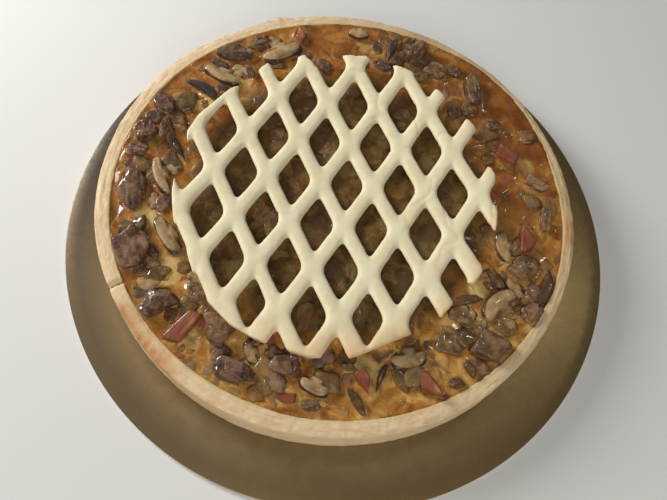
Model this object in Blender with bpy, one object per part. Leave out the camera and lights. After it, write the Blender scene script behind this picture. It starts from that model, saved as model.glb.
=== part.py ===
"""Mushroom and ham quiche with a cut pastry lattice, standing on its round cake card.

Metres, +Z up.  The origin is the middle of the card's underside.  The quiche sits a
little off the card's middle, so its pieces hang from an empty at the foot of the
quiche and are worked out round that point, with heights counted from the card's top.
"""

import math

import bmesh
import bpy
from mathutils import Matrix, Vector

MM = 0.001

# Driving dimensions
CARD_RADIUS = 160 * MM
CARD_THICK = 2 * MM
CARD_SIDES = 72
QUICHE_X = -3.7 * MM
QUICHE_Y = 7.5 * MM
RIM_RADIUS = 136 * MM
RIM_HEIGHT = 25 * MM
WALL_THICK = 9 * MM
WALL_DRAFT = 1.5 * MM
FLOOR_THICK = 4 * MM
EDGE_ROUND = 1.2 * MM
GAP = 0.3 * MM
ROUND_STEPS = 64

# The cup is first turned one unit thick and high, with its floor this high
CUP_FLOOR = 0.16
CUP_CORNER = 0.30
CUP_FLOOR_REACH = 0.88

FILLING_LEVEL = 24.2 * MM
FILLING_FOOT = 0.86
FILLING_CORNER = 0.2
FILLING_RINGS = (0.40, 0.64, 0.80, 0.88, 0.94)

LATTICE_CENTRE = Vector((2.8 * MM, 6.0 * MM))
LATTICE_PITCH = 31.4 * MM
LATTICE_ANGLES = (math.radians(-55.5), math.radians(66.5))
LATTICE_THICK = 4.5 * MM
LATTICE_TOP = 27.9 * MM
LATTICE_DISH = 4.7 * MM
LATTICE_DISH_RADIUS = 81.6 * MM
LATTICE_REACH = 128 * MM
CELL_COUNT = 5
# A hole is its cell's rhombus made smaller, with its corners drawn in a little more
HOLE_SCALE = 0.66
HOLE_CORNER_SIDE = 0.90
HOLE_CORNER_TIP = 0.92
HOLE_CORNER_SHARE = 0.22
SHOULDER_SHARE = 0.62
# Depths below the crest, as shares of the strip's thickness
SHOULDER_DEPTH = 0.09
HOLE_EDGE_DEPTH = 0.36
HOLE_FOOT_DEPTH = 0.86
TRIM_LOW = 15 * MM
TRIM_HIGH = 45 * MM

# Where the lattice was trimmed, round the quiche's middle, in millimetres
LATTICE_TRIM = (
    (91, 5), (88, 28), (84, 34), (75, 56), (68, 63), (53, 77), (44, 84), (34, 91), (20, 94.5),
    (-1, 98), (-15, 94.5), (-29, 82), (-38, 89.5), (-60, 76.5), (-76, 55.5), (-90, 31),
    (-93.5, 18), (-91.5, 10), (-94.5, -5), (-91, -23), (-85.5, -39.5), (-74, -56), (-66, -69.5),
    (-54, -78.5), (-32, -93), (-19, -97.5), (0, -99.5), (20, -96), (26.5, -90), (50, -77),
    (62.5, -67.5), (69, -58), (79.5, -44), (84.5, -33), (91, -5),
)

TOPPING_GAP = 0.4 * MM

# Each topping: x, y, length, width, height in millimetres, and its turn in degrees
CAPS = (
    (70, 90, 21, 10, 6, -65), (104, -29, 11, 9, 4.5, 0), (91, -74, 21, 15, 6.5, 20),
    (-49, -91, 17, 16, 6, 0), (-104, -57, 23, 17, 6, -70), (-118, 17, 14, 11, 6.5, 80),
    (-106, 20, 15, 8, 5.5, -75), (-82.5, -82.5, 20, 13, 6, 40),
)
SLICES = (
    (-8, 120.5, 13, 8, 3.5, 0), (96, -15, 16, 10, 3.2, -80), (95.5, -50, 21, 12, 4, 52),
    (50, -88.5, 17, 10, 3, 20), (5, -112, 15, 8, 4, -15), (-87.5, -46, 24, 9, 3.2, -48),
    (-101, -10, 22, 8, 4.5, -60), (-86, 68, 23, 9, 3.8, -20), (-53, 94, 23, 12, 3.4, 40),
)
CHUNKS = (
    (30, 111, 17, 12, 9, 60), (45, 100, 14, 11, 4, -20), (59, 102, 8, 7, 3.5, 0),
    (61, 72, 10, 8, 2.8, 30), (84, 66, 10, 8, 3.5, 20), (114, 30, 13, 8, 4, -15),
    (119, 8, 14, 6, 4, 88), (112, -51, 13, 9, 4.5, 40), (76, -97, 8, 5, 3.5, 20),
    (21, -99, 7, 4, 2.6, 0), (5, -121, 9, 5, 4, 0), (-12, -104.5, 17, 11, 5, 10),
    (-36, -113, 20, 12, 5.5, -8), (-64, -74, 12, 9, 3.2, -50), (-114, -20, 29, 15, 5, -65),
    (-120, 3, 10, 5, 4, 0), (-113.5, 37, 17, 11, 5.5, -60), (-82, 87, 22, 12, 4.5, 12),
    (-69, 74, 8, 5, 3, -60), (-68, 101, 9, 6, 3, 30), (11, 98, 12, 9, 3, -30),
)
SKINS = (
    (15, 113, 17, 5, 3, 80, 0), (117.5, -35, 22, 4, 3.5, -108, 3), (79, -50, 14, 5, 2.6, 20, 0),
    (27, -115, 13, 4, 3, -50, 0), (38, -102, 14, 3.5, 3, 75, 1), (-97, 9, 14, 3.5, 2.8, -55, 0),
    (-95.5, 53.5, 20, 5, 3.2, -28, 2), (82, -88, 9, 4, 4, -62, 0),
)
HAMS = (
    (95, 46, 12, 10, 4, -20), (109, -8, 16, 9, 4.5, -80), (63, -101, 14, 9, 6, -65),
    (28, -105, 11, 7, 5, -70), (-8, -119.5, 10, 5, 3.5, 0), (-66, -94, 19, 8, 4, 62),
    (-44, 110.5, 13, 7, 4, -78),
)

# Surface colours (red, green, blue, linear) and roughness
COLOURS = {
    "card_gold": ((0.30, 0.21, 0.09), 0.35, 0.9),
    "crust": ((0.62, 0.48, 0.30), 0.75, 0.0),
    "custard": ((0.36, 0.14, 0.035), 0.28, 0.0),
    "lattice": ((0.74, 0.65, 0.38), 0.65, 0.0),
    "mushroom_dark": ((0.10, 0.055, 0.035), 0.35, 0.0),
    "mushroom_pale": ((0.32, 0.22, 0.12), 0.40, 0.0),
    "ham": ((0.40, 0.13, 0.08), 0.35, 0.0),
}


def clear_scene():
    """Take away whatever the file held."""
    for obj in list(bpy.data.objects):
        bpy.data.objects.remove(obj, do_unlink=True)


def material(name):
    """One Principled material for each finish in COLOURS."""
    found = bpy.data.materials.get(name)
    if found:
        return found
    colour, rough, metal = COLOURS[name]
    made = bpy.data.materials.new(name)
    made.use_nodes = True
    shader = made.node_tree.nodes["Principled BSDF"]
    shader.inputs["Base Color"].default_value = (*colour, 1.0)
    shader.inputs["Roughness"].default_value = rough
    shader.inputs["Metallic"].default_value = metal
    return made


def add_object(name, shape, finish, parent=None):
    """Turn a bmesh into a named object with one material."""
    bmesh.ops.recalc_face_normals(shape, faces=shape.faces)
    mesh = bpy.data.meshes.new(name)
    shape.to_mesh(mesh)
    shape.free()
    mesh.materials.append(material(finish))
    obj = bpy.data.objects.new(name, mesh)
    obj.parent = parent
    bpy.context.scene.collection.objects.link(obj)
    return obj


def swell(angle, centre_deg, width_deg):
    """A smooth bump of height 1 at one bearing, as wide as width_deg."""
    away = math.degrees(angle) - centre_deg
    away = (away + 180) % 360 - 180
    return math.exp(-((away / width_deg) ** 2))


def ease(value):
    """Rise from 0 to 1 with level ends."""
    value = min(max(value, 0.0), 1.0)
    return value * value * (3 - 2 * value)


def rim_outer(angle):
    """Outer radius of the crust: a hand-lined ring is never quite round."""
    wave = 0.4 * math.sin(3 * angle + 0.5) + 0.25 * math.sin(7 * angle + 2.0)
    return RIM_RADIUS + (wave + 0.9 * swell(angle, 180, 30)) * MM


def rim_inner(angle):
    """Inner radius of the crust: thick at the front, thin at the far right."""
    thick = WALL_THICK + 1.2 * MM * swell(angle, -95, 45)
    thick -= 4.2 * MM * swell(angle, 47, 28)
    thick -= 2.2 * MM * swell(angle, -8, 22)
    return RIM_RADIUS - thick


def rim_top(angle):
    """Height of the cut rim, with the low broken place at the front left."""
    wave = 0.35 * math.sin(2 * angle + 0.4) + 0.25 * math.sin(5 * angle + 1.1)
    return RIM_HEIGHT + (wave - 1.1 * swell(angle, 233, 9)) * MM


def filling_level(x, y):
    """Height of the baked filling: sunken in the middle, swollen at the far right,
    and drawn back from the wall at the right and the front."""
    reach = math.hypot(x, y)
    angle = math.atan2(y, x)
    level = FILLING_LEVEL
    level -= 1.8 * MM * (1 - ease(reach / (95 * MM)))
    level += 1.5 * MM * swell(angle, 50, 35) * ease((reach - 88 * MM) / (34 * MM))
    level -= 1.6 * MM * swell(angle, -10, 30) * ease((reach - 104 * MM) / (22 * MM))
    level -= 0.5 * MM * swell(angle, -95, 50) * ease((reach - 100 * MM) / (22 * MM))
    return level


def make_card():
    """The round card: a plain disc."""
    shape = bmesh.new()
    bmesh.ops.create_circle(shape, cap_ends=True, segments=CARD_SIDES, radius=CARD_RADIUS)
    raised = bmesh.ops.extrude_face_region(shape, geom=shape.faces[:])
    top = [item for item in raised["geom"] if isinstance(item, bmesh.types.BMVert)]
    bmesh.ops.translate(shape, verts=top, vec=(0, 0, CARD_THICK))
    return add_object("card", shape, "card_gold")


def turned(profile, steps):
    """Spin a profile of (radius, height) points, with both ends on the axis, round Z."""
    shape = bmesh.new()
    verts = [shape.verts.new((radius, 0.0, height)) for radius, height in profile]
    for first, second in zip(verts, verts[1:]):
        shape.edges.new((first, second))
    bmesh.ops.spin(
        shape,
        geom=shape.verts[:] + shape.edges[:],
        cent=(0, 0, 0),
        axis=(0, 0, 1),
        angle=math.tau,
        steps=steps,
        use_merge=True,
    )
    bmesh.ops.remove_doubles(shape, verts=shape.verts, dist=1e-6)
    return shape


def make_crust(parent):
    """The pastry case: a turned cup, then eased to the uneven rim.

    The cup is turned with its wall between radius 1 and 2 and its height from 0 to 1,
    so that a point's radius and height say how far across and up the wall it lies.
    """
    inner, outer = 1.0, 2.0
    edge = EDGE_ROUND / WALL_THICK
    profile = (
        (0.0, 0.0), (outer - edge, 0.0), (outer, edge), (outer, 1.0 - edge), (outer - edge, 1.0),
        (inner + edge, 1.0), (inner, 1.0 - 2 * edge), (inner, CUP_CORNER),
        (CUP_FLOOR_REACH, CUP_FLOOR), (0.0, CUP_FLOOR),
    )
    shape = turned(profile, ROUND_STEPS)
    for vert in shape.verts:
        unit = math.hypot(vert.co.x, vert.co.y)
        height = vert.co.z
        angle = math.atan2(vert.co.y, vert.co.x)
        if unit < 1e-6:
            radius = 0.0
        elif unit <= inner + 1e-6:
            radius = unit * (rim_inner(angle) - WALL_DRAFT * (1 - height))
        else:
            across = (unit - inner) / (outer - inner)
            radius = rim_inner(angle) + across * (rim_outer(angle) - rim_inner(angle))
        if height <= CUP_FLOOR:
            level = height / CUP_FLOOR * FLOOR_THICK
        else:
            share = (height - CUP_FLOOR) / (1 - CUP_FLOOR)
            level = FLOOR_THICK + share * (rim_top(angle) - FLOOR_THICK)
        vert.co = (radius * math.cos(angle), radius * math.sin(angle), level + GAP)
    return add_object("crust", shape, "crust", parent)


def make_filling(parent):
    """The custard: it fills the case, a hair clear of it, up to the filling level."""
    profile = [(0.0, 0.0), (FILLING_FOOT, 0.0), (1.0, FILLING_CORNER), (1.0, 1.0)]
    profile += [(share, 1.0) for share in reversed(FILLING_RINGS)]
    profile += [(0.0, 1.0)]
    shape = turned(profile, ROUND_STEPS)
    floor = FLOOR_THICK + 2 * GAP
    for vert in shape.verts:
        unit = math.hypot(vert.co.x, vert.co.y)
        angle = math.atan2(vert.co.y, vert.co.x)
        wall = rim_inner(angle) - GAP
        wall -= WALL_DRAFT * (1 - vert.co.z)
        x = unit * wall * math.cos(angle)
        y = unit * wall * math.sin(angle)
        level = floor + vert.co.z * (filling_level(x, y) - floor)
        vert.co = (x, y, level)
    return add_object("filling", shape, "custard", parent)


def lattice_top(point):
    """Height of the strips' crests: the lattice lies like a shallow dish."""
    out = min((point.length / LATTICE_DISH_RADIUS) ** 2, 1.2)
    return LATTICE_TOP + LATTICE_DISH * out


def cell_outlines(centre, along, across):
    """One cell's crest line and its hole, as matching lists of points.

    The crest line is the rhombus through the four junctions round the hole.  The
    hole is a smaller rhombus, rounded at its four corners.
    """
    corners = (-along - across, along - across, along + across, across - along)
    crest = []
    hole = []
    for index, corner in enumerate(corners):
        following = corners[(index + 1) % 4]
        blunt = HOLE_CORNER_SIDE if index in (0, 2) else HOLE_CORNER_TIP
        crest.append(centre + corner)
        hole.append(centre + corner * HOLE_SCALE * blunt)
        for share in (HOLE_CORNER_SHARE, 1 - HOLE_CORNER_SHARE):
            point = corner.lerp(following, share)
            crest.append(centre + point)
            hole.append(centre + point * HOLE_SCALE)
    return crest, hole


def add_cell(shape, centre, along, across):
    """One cell of the lattice: crest, shoulder, hole wall and underside round a hole."""
    crest, hole = cell_outlines(centre, along, across)
    middle = [a.lerp(b, SHOULDER_SHARE) for a, b in zip(crest, hole)]
    rows = (
        (crest, 0.0), (middle, SHOULDER_DEPTH), (hole, HOLE_EDGE_DEPTH), (hole, HOLE_FOOT_DEPTH),
        (crest, 1.0),
    )
    rings = []
    for points, depth in rows:
        ring = []
        for point in points:
            level = lattice_top(point) - depth * LATTICE_THICK
            ring.append(shape.verts.new((point.x, point.y, level)))
        rings.append(ring)
    count = len(crest)
    for upper, lower in zip(rings, rings[1:]):
        for index in range(count):
            after = (index + 1) % count
            shape.faces.new((upper[index], upper[after], lower[after], lower[index]))


def closed_net(parent):
    """All the cells that the trimmed lattice touches, joined into one net."""
    shape = bmesh.new()
    steps = []
    for turn in LATTICE_ANGLES:
        steps.append(LATTICE_PITCH * Vector((math.cos(turn), math.sin(turn))))
    for column in range(-CELL_COUNT, CELL_COUNT + 1):
        for row in range(-CELL_COUNT, CELL_COUNT + 1):
            centre = LATTICE_CENTRE + column * steps[0] + row * steps[1]
            if centre.length < LATTICE_REACH:
                add_cell(shape, centre, steps[0] / 2, steps[1] / 2)
    bmesh.ops.remove_doubles(shape, verts=shape.verts, dist=0.05 * MM)
    rims = [edge for edge in shape.edges if edge.is_boundary]
    bmesh.ops.bridge_loops(shape, edges=rims)
    return add_object("lattice", shape, "lattice", parent)


def trimming_prism(parent):
    """The upright cutter whose outline is the lattice's trimmed edge."""
    shape = bmesh.new()
    ring = [shape.verts.new((x * MM, y * MM, TRIM_LOW)) for x, y in LATTICE_TRIM]
    base = shape.faces.new(ring)
    raised = bmesh.ops.extrude_face_region(shape, geom=[base])
    top = [item for item in raised["geom"] if isinstance(item, bmesh.types.BMVert)]
    bmesh.ops.translate(shape, verts=top, vec=(0, 0, TRIM_HIGH - TRIM_LOW))
    cutter = add_object("lattice_cutter", shape, "lattice", parent)
    cutter.hide_render = True
    cutter.display_type = "WIRE"
    return cutter


def islands(shape):
    """The vertices of each separate piece of a bmesh."""
    left = set(shape.verts)
    found = []
    while left:
        start = left.pop()
        group = {start}
        waiting = [start]
        while waiting:
            vert = waiting.pop()
            for link in vert.link_edges:
                other = link.other_vert(vert)
                if other in left:
                    left.discard(other)
                    group.add(other)
                    waiting.append(other)
        found.append(group)
    return found


def make_lattice(parent):
    """The pastry lattice: one sheet, slit and pulled open, trimmed to a rough round."""
    net = closed_net(parent)
    cutter = trimming_prism(parent)
    trim = net.modifiers.new("trim", "BOOLEAN")
    trim.operation = "INTERSECT"
    trim.solver = "EXACT"
    trim.object = cutter
    depsgraph = bpy.context.evaluated_depsgraph_get()
    trimmed = bpy.data.meshes.new_from_object(net.evaluated_get(depsgraph))
    shape = bmesh.new()
    shape.from_mesh(trimmed)
    groups = sorted(islands(shape), key=len)
    for group in groups[:-1]:
        bmesh.ops.delete(shape, geom=list(group), context="VERTS")
    bmesh.ops.remove_doubles(shape, verts=shape.verts, dist=0.01 * MM)
    net.modifiers.remove(trim)
    shape.to_mesh(net.data)
    shape.free()
    return net


def lay_on_filling(name, shape, place, finish, parent):
    """Place a topping: its mesh is lengths and widths, and z counts from the filling."""
    x, y, turn = place
    spin = Matrix.Rotation(turn, 2)
    rest = filling_level(x, y)
    for vert in shape.verts:
        flat = spin @ vert.co.xy
        below = filling_level(x + flat.x, y + flat.y)
        vert.co.z += below - rest
    obj = add_object(name, shape, finish, parent)
    obj.location = (x, y, rest + TOPPING_GAP)
    obj.rotation_euler = (0, 0, turn)
    return obj


def lump(length, width, height, knobs, phase):
    """A rounded piece with a flat underside; knobs above 0 make it uneven."""
    shape = bmesh.new()
    bmesh.ops.create_icosphere(shape, subdivisions=2, radius=1.0)
    for vert in shape.verts:
        unit = vert.co.normalized()
        turn = math.atan2(unit.y, unit.x)
        uneven = 1 - knobs + knobs * math.sin(3 * turn + phase)
        crown = 1 + knobs * math.sin(2.5 * unit.x + 3.1 * unit.y + phase)
        rise = ease((unit.z + 0.6) / 1.6) ** 0.8
        vert.co.x = 0.5 * length * unit.x * uneven
        vert.co.y = 0.5 * width * unit.y * uneven
        vert.co.z = height * rise * crown / (1 + knobs)
    return shape


def bar(length, width, height, bow):
    """A narrow piece, tapered at both ends and bowed sideways by bow."""
    shape = bmesh.new()
    rings = []
    stations = 6
    for index in range(stations + 1):
        share = index / stations * 2 - 1
        slim = math.sqrt(1 - 0.85 * share * share)
        middle = Vector((0.5 * length * share, bow * (1 - share * share)))
        ring = []
        for side, level in ((-1, 0.0), (1, 0.0), (0.6, 1.0), (-0.6, 1.0)):
            y = middle.y + side * 0.5 * width * slim
            z = level * height * (0.55 + 0.45 * slim)
            ring.append(shape.verts.new((middle.x, y, z)))
        rings.append(ring)
    for first, second in zip(rings, rings[1:]):
        for index in range(4):
            after = (index + 1) % 4
            shape.faces.new((first[index], first[after], second[after], second[index]))
    shape.faces.new(rings[0])
    shape.faces.new(rings[-1])
    return shape


def block(length, width, height):
    """A small cut block with eased edges."""
    shape = bmesh.new()
    bmesh.ops.create_cube(shape, size=1.0)
    bmesh.ops.scale(shape, vec=(length, width, height), verts=shape.verts)
    bmesh.ops.translate(shape, vec=(0, 0, 0.5 * height), verts=shape.verts)
    edge = 0.22 * min(width, height)
    bmesh.ops.bevel(shape, geom=shape.edges[:], offset=edge, segments=1, affect="EDGES")
    return shape


def make_toppings(parent):
    """The pieces of mushroom and ham that lie in the ring round the lattice."""
    kinds = (
        ("mushroom_cap", CAPS, 0.04, "mushroom_dark"),
        ("mushroom_slice", SLICES, 0.10, "mushroom_pale"),
        ("mushroom_chunk", CHUNKS, 0.16, "mushroom_dark"),
    )
    for kind, table, knobs, finish in kinds:
        for index, (x, y, length, width, height, turn) in enumerate(table, 1):
            shape = lump(length * MM, width * MM, height * MM, knobs, 1.7 * index)
            place = (x * MM, y * MM, math.radians(turn))
            lay_on_filling(f"{kind}_{index:02d}", shape, place, finish, parent)
    for index, (x, y, length, width, height, turn, bow) in enumerate(SKINS, 1):
        shape = bar(length * MM, width * MM, height * MM, bow * MM)
        place = (x * MM, y * MM, math.radians(turn))
        lay_on_filling(f"mushroom_skin_{index:02d}", shape, place, "mushroom_dark", parent)
    for index, (x, y, length, width, height, turn) in enumerate(HAMS, 1):
        shape = block(length * MM, width * MM, height * MM)
        place = (x * MM, y * MM, math.radians(turn))
        lay_on_filling(f"ham_{index:02d}", shape, place, "ham", parent)


def main():
    clear_scene()
    make_card()
    foot = bpy.data.objects.new("quiche_foot", None)
    foot.location = (QUICHE_X, QUICHE_Y, CARD_THICK)
    bpy.context.scene.collection.objects.link(foot)
    make_crust(foot)
    make_filling(foot)
    make_lattice(foot)
    make_toppings(foot)
    for obj in bpy.data.objects:
        if obj.type == "MESH" and not obj.hide_render:
            obj.data.shade_smooth()
            obj.data.set_sharp_from_angle(angle=math.radians(40))


main()
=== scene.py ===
"""A baked mushroom and ham quiche under a cut pastry lattice, on its round gold card.

Lengths are in metres.  Every new piece is a surface worked out with numpy on a grid of
two parameters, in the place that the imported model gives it.
"""

import itertools
import math

import bmesh
import bpy
import numpy as np
from mathutils import Matrix, Vector


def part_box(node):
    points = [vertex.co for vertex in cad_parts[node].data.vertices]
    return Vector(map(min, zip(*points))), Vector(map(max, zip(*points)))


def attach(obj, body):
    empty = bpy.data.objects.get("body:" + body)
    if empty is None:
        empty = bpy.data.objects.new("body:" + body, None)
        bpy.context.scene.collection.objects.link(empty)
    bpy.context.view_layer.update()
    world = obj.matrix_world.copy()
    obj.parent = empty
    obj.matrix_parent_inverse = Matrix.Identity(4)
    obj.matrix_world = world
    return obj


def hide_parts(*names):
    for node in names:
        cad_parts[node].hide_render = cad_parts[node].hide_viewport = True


bl_info = {
    "name": "Lattice Quiche",
    "version": (1, 0, 0),
    "blender": (4, 5, 0),
    "location": "View3D > Sidebar > Quiche",
    "description": "Builds a mushroom and ham quiche with a pastry lattice on its card",
    "category": "Add Mesh",
}

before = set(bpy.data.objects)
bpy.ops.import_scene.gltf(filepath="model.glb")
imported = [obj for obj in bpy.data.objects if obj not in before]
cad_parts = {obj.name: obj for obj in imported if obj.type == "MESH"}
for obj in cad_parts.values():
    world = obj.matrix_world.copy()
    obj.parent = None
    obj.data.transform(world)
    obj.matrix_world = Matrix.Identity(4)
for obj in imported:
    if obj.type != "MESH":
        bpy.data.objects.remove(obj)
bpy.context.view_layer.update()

MM = 0.001
BODY = "root"

# Where the lattice was trimmed, round the quiche's middle, in millimetres
LATTICE_TRIM = (
    (89.5, 5), (86.5, 27.5), (83, 33), (75, 56), (68, 63), (53, 77), (44, 84), (34, 91),
    (20, 94.5), (-1, 97), (-15, 94.5), (-29, 82), (-38, 89.5), (-59, 78), (-63.5, 72),
    (-62, 64), (-66, 58.5), (-73, 57), (-77, 53.5), (-90, 31), (-93.5, 18), (-91.5, 10),
    (-94.5, -3), (-91, -23), (-85.5, -39.5), (-74, -56), (-66, -69.5), (-56, -81),
    (-42, -90.5), (-30, -95), (-19, -97.5), (0, -99.5), (20, -96), (27, -92), (50, -77),
    (62.5, -67.5), (69, -57), (74.8, -43.5), (79, -44), (83.5, -36), (82.5, -30.5), (83, -27),
    (86, -20), (89.5, -6),
)

# Patches of the custard round the quiche's middle: x, y, radius in millimetres, strength
CREAM_PATCHES = (
    (-82, -64, 9, 0.9), (-100, -34, 8, 0.8), (88, -41, 9, 1.0), (74, -66, 11, 0.9),
    (-95, 46, 8, 0.8), (-73, 68, 9, 0.8), (28, -97, 9, 1.0), (-26, -106, 7, 0.6),
    (102, -22, 8, 0.8), (-60, -100, 6, 0.6), (108, 44, 6, 0.7), (-72, -88, 6, 0.5),
    (0, 112, 7, 0.5), (-110, -44, 6, 0.6), (118, -58, 7, 0.7),
)
BROWN_PATCHES = (
    (92, 92, 34, 1.0), (112, 58, 24, 1.0), (72, 112, 22, 0.8), (104, 12, 16, 0.7),
    (-28, 108, 16, 0.4), (-106, 58, 12, 0.3), (-92, -78, 14, 0.4), (-50, -104, 12, 0.3),
    (40, 118, 16, 0.5), (98, -4, 12, 0.5),
)
# Stretches of custard with nothing buried near its skin
SMOOTH_PATCHES = (
    (96, 84, 26, 1.0), (72, 106, 20, 0.9), (112, 50, 18, 1.0), (-26, 112, 14, 0.8),
    (110, 8, 13, 0.9), (72, -86, 12, 0.9), (40, -108, 14, 1.0), (-104, 62, 10, 0.7),
    (2, -118, 10, 0.6), (-74, 86, 10, 0.7), (-110, 4, 7, 0.7),
)


# ---- numbers and noise


def ease(value, low=0.0, high=1.0):
    """Rise from 0 at low to 1 at high with level ends: 3t^2 - 2t^3."""
    share = np.clip((value - low) / (high - low), 0.0, 1.0)
    return share * share * (3 - 2 * share)


def peak(value, width):
    """A bump of height 1 where value is 0: e to the minus square of value over width."""
    return np.exp(-((value / width) ** 2))


def degrees_from(angle, bearing):
    """Degrees from a bearing to an angle, between -180 and 180."""
    return (np.degrees(angle) - bearing + 180) % 360 - 180


def swell(angle, bearing, width):
    """A bump of height 1 at one bearing, width degrees to each side."""
    return peak(degrees_from(angle, bearing), width)


def facing(angle, bearing):
    """The cosine between an angle and a bearing: 1 where they agree, -1 opposite."""
    return np.cos(angle - math.radians(bearing))


def hashed(places, seed):
    """A repeatable number from 0 to 1 for each row of whole numbers: a bit-mixing hash."""
    cell = places.astype(np.int64)
    mixed = cell[..., 0] * 73856093 ^ cell[..., 1] * 19349663 ^ cell[..., 2] * 83492791
    mixed = (mixed + seed * 2654435761) & 0xFFFFFFFF
    for factor in (0x7FEB352D, 0x846CA68B):
        mixed ^= mixed >> 16
        mixed = (mixed * factor) & 0xFFFFFFFF
    mixed ^= mixed >> 15
    return mixed / 4294967295.0


def noise(points, size, seed=0, octaves=1):
    """Smooth waves from -1 to 1, each about size across.

    Random values at the corners of a cubic grid are blended with 3t^2 - 2t^3; each
    further octave is half as wide and half as strong.
    """
    total = np.zeros(points.shape[:-1])
    strength = 1.0
    weight = 0.0
    for octave in range(octaves):
        place = points / size * 2**octave + 0.37 * octave
        cell = np.floor(place)
        share = ease(place - cell)
        for corner in range(8):
            step = np.array([corner & 1, corner >> 1 & 1, corner >> 2 & 1])
            part = np.where(step, share, 1 - share).prod(-1)
            total += strength * part * (2 * hashed(cell + step, seed + octave) - 1)
        weight += strength
        strength *= 0.5
    return total / weight


def spread(x, y, z=0.0):
    """Pack coordinates into one array of points."""
    return np.stack(np.broadcast_arrays(x, y, z), -1)


def polar(reach, angle, z=0.0):
    """Points at a reach and a bearing, at height z."""
    return spread(reach * np.cos(angle), reach * np.sin(angle), z)


# ---- meshes from grids


NO_TRIANGLES = np.zeros((0, 3), int)


def grid_quads(rows, columns, wrap):
    """The four corners of each square between neighbouring rows of a grid of points."""
    last = columns if wrap else columns - 1
    row = np.arange(rows - 1)[:, None] * columns
    here = np.arange(last)[None, :]
    after = (here + 1) % columns
    corners = [row + here, row + after, row + columns + after, row + columns + here]
    return np.stack(corners, -1).reshape(-1, 4)


def fan(pole, ring, upward):
    """Triangles from one point to a closed ring of points that runs anticlockwise."""
    after = np.roll(ring, -1)
    centre = np.full(len(ring), pole)
    order = [ring, after, centre] if upward else [centre, after, ring]
    return np.stack(order, -1)


def linked(name, data):
    """A new object in the scene."""
    obj = bpy.data.objects.new(name, data)
    bpy.context.scene.collection.objects.link(obj)
    return obj


def read(items, key, width, kind=float):
    """One attribute of all items of a mesh, in rows of the given width."""
    flat = np.empty(len(items) * width, kind)
    items.foreach_get(key, flat)
    return flat.reshape(-1, width)


def mesh_object(name, points, quads, triangles=NO_TRIANGLES, masks=None):
    """One smooth mesh object from arrays, with a named value at each point per mask."""
    mesh = bpy.data.meshes.new(name)
    mesh.vertices.add(len(points))
    mesh.vertices.foreach_set("co", np.asarray(points, np.float32).ravel())
    corners = np.concatenate([quads.ravel(), triangles.ravel()])
    mesh.loops.add(len(corners))
    mesh.loops.foreach_set("vertex_index", corners.astype(np.int32))
    starts = np.concatenate(
        [np.arange(len(quads)) * 4, len(quads) * 4 + np.arange(len(triangles)) * 3]
    )
    mesh.polygons.add(len(starts))
    mesh.polygons.foreach_set("loop_start", starts.astype(np.int32))
    mesh.update(calc_edges=True)
    mesh.validate()
    mesh.shade_smooth()
    for mask, values in (masks or {}).items():
        layer = mesh.attributes.new(mask, "FLOAT", "POINT")
        layer.data.foreach_set("value", np.asarray(values, np.float32))
    return linked(name, mesh)


def globe_mesh(name, parts):
    """Join closed pieces into one mesh.

    Each part is a grid of points whose rows run from its lowest ring to its highest,
    and a dictionary of masks on the same grid.  A pole closes each end.
    """
    points, quads, triangles = [], [], []
    masks = {key: [] for key in parts[0][1]}
    first = 0
    for grid, values in parts:
        rows, columns = grid.shape[:2]
        count = rows * columns
        points += [grid.reshape(-1, 3), grid[0].mean(0)[None], grid[-1].mean(0)[None]]
        quads.append(grid_quads(rows, columns, True) + first)
        ring = np.arange(columns)
        triangles.append(fan(count, ring, False) + first)
        triangles.append(fan(count + 1, ring + count - columns, True) + first)
        for key, value in values.items():
            value = np.broadcast_to(value, (rows, columns))
            masks[key] += [value.ravel(), value[:1].mean(1), value[-1:].mean(1)]
        first += count + 2
    joined = {key: np.concatenate(value) for key, value in masks.items()}
    return mesh_object(
        name, np.concatenate(points), np.concatenate(quads), np.concatenate(triangles), joined
    )


def globe(rows, columns):
    """Longitudes and unit directions of a globe's rings, without its poles."""
    latitude = (-1 + 2 * (np.arange(rows) + 0.5) / rows) * math.pi / 2
    longitude = np.arange(columns) / columns * math.tau
    latitude, longitude = np.meshgrid(latitude, longitude, indexing="ij")
    return longitude, directions(longitude, latitude)


def directions(longitude, latitude):
    """Unit vectors with a longitude and a latitude."""
    return polar(np.cos(latitude), longitude, np.sin(latitude))


# ---- shader expressions


class Value:
    """One output socket; arithmetic on it adds Math nodes to its material."""

    def __init__(self, finish, socket):
        self.finish = finish
        self.socket = socket

    def math(self, operation, *values):
        settings = {"operation": operation}
        return self.finish.node("ShaderNodeMath", settings, dict(enumerate(values)))

    def __add__(self, other):
        return self.math("ADD", self, other)

    __radd__ = __add__

    def __sub__(self, other):
        return self.math("SUBTRACT", self, other)

    def __rsub__(self, other):
        return self.math("SUBTRACT", other, self)

    def __mul__(self, other):
        return self.math("MULTIPLY", self, other)

    __rmul__ = __mul__

    def clamp(self):
        settings = {"operation": "ADD", "use_clamp": True}
        return self.finish.node("ShaderNodeMath", settings, {0: self, 1: 0.0})

    def step(self, low, high):
        """Ease from 0 at low to 1 at high."""
        settings = {"interpolation_type": "SMOOTHSTEP"}
        sockets = {"Value": self, "From Min": low, "From Max": high}
        return self.finish.node("ShaderNodeMapRange", settings, sockets)


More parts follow.
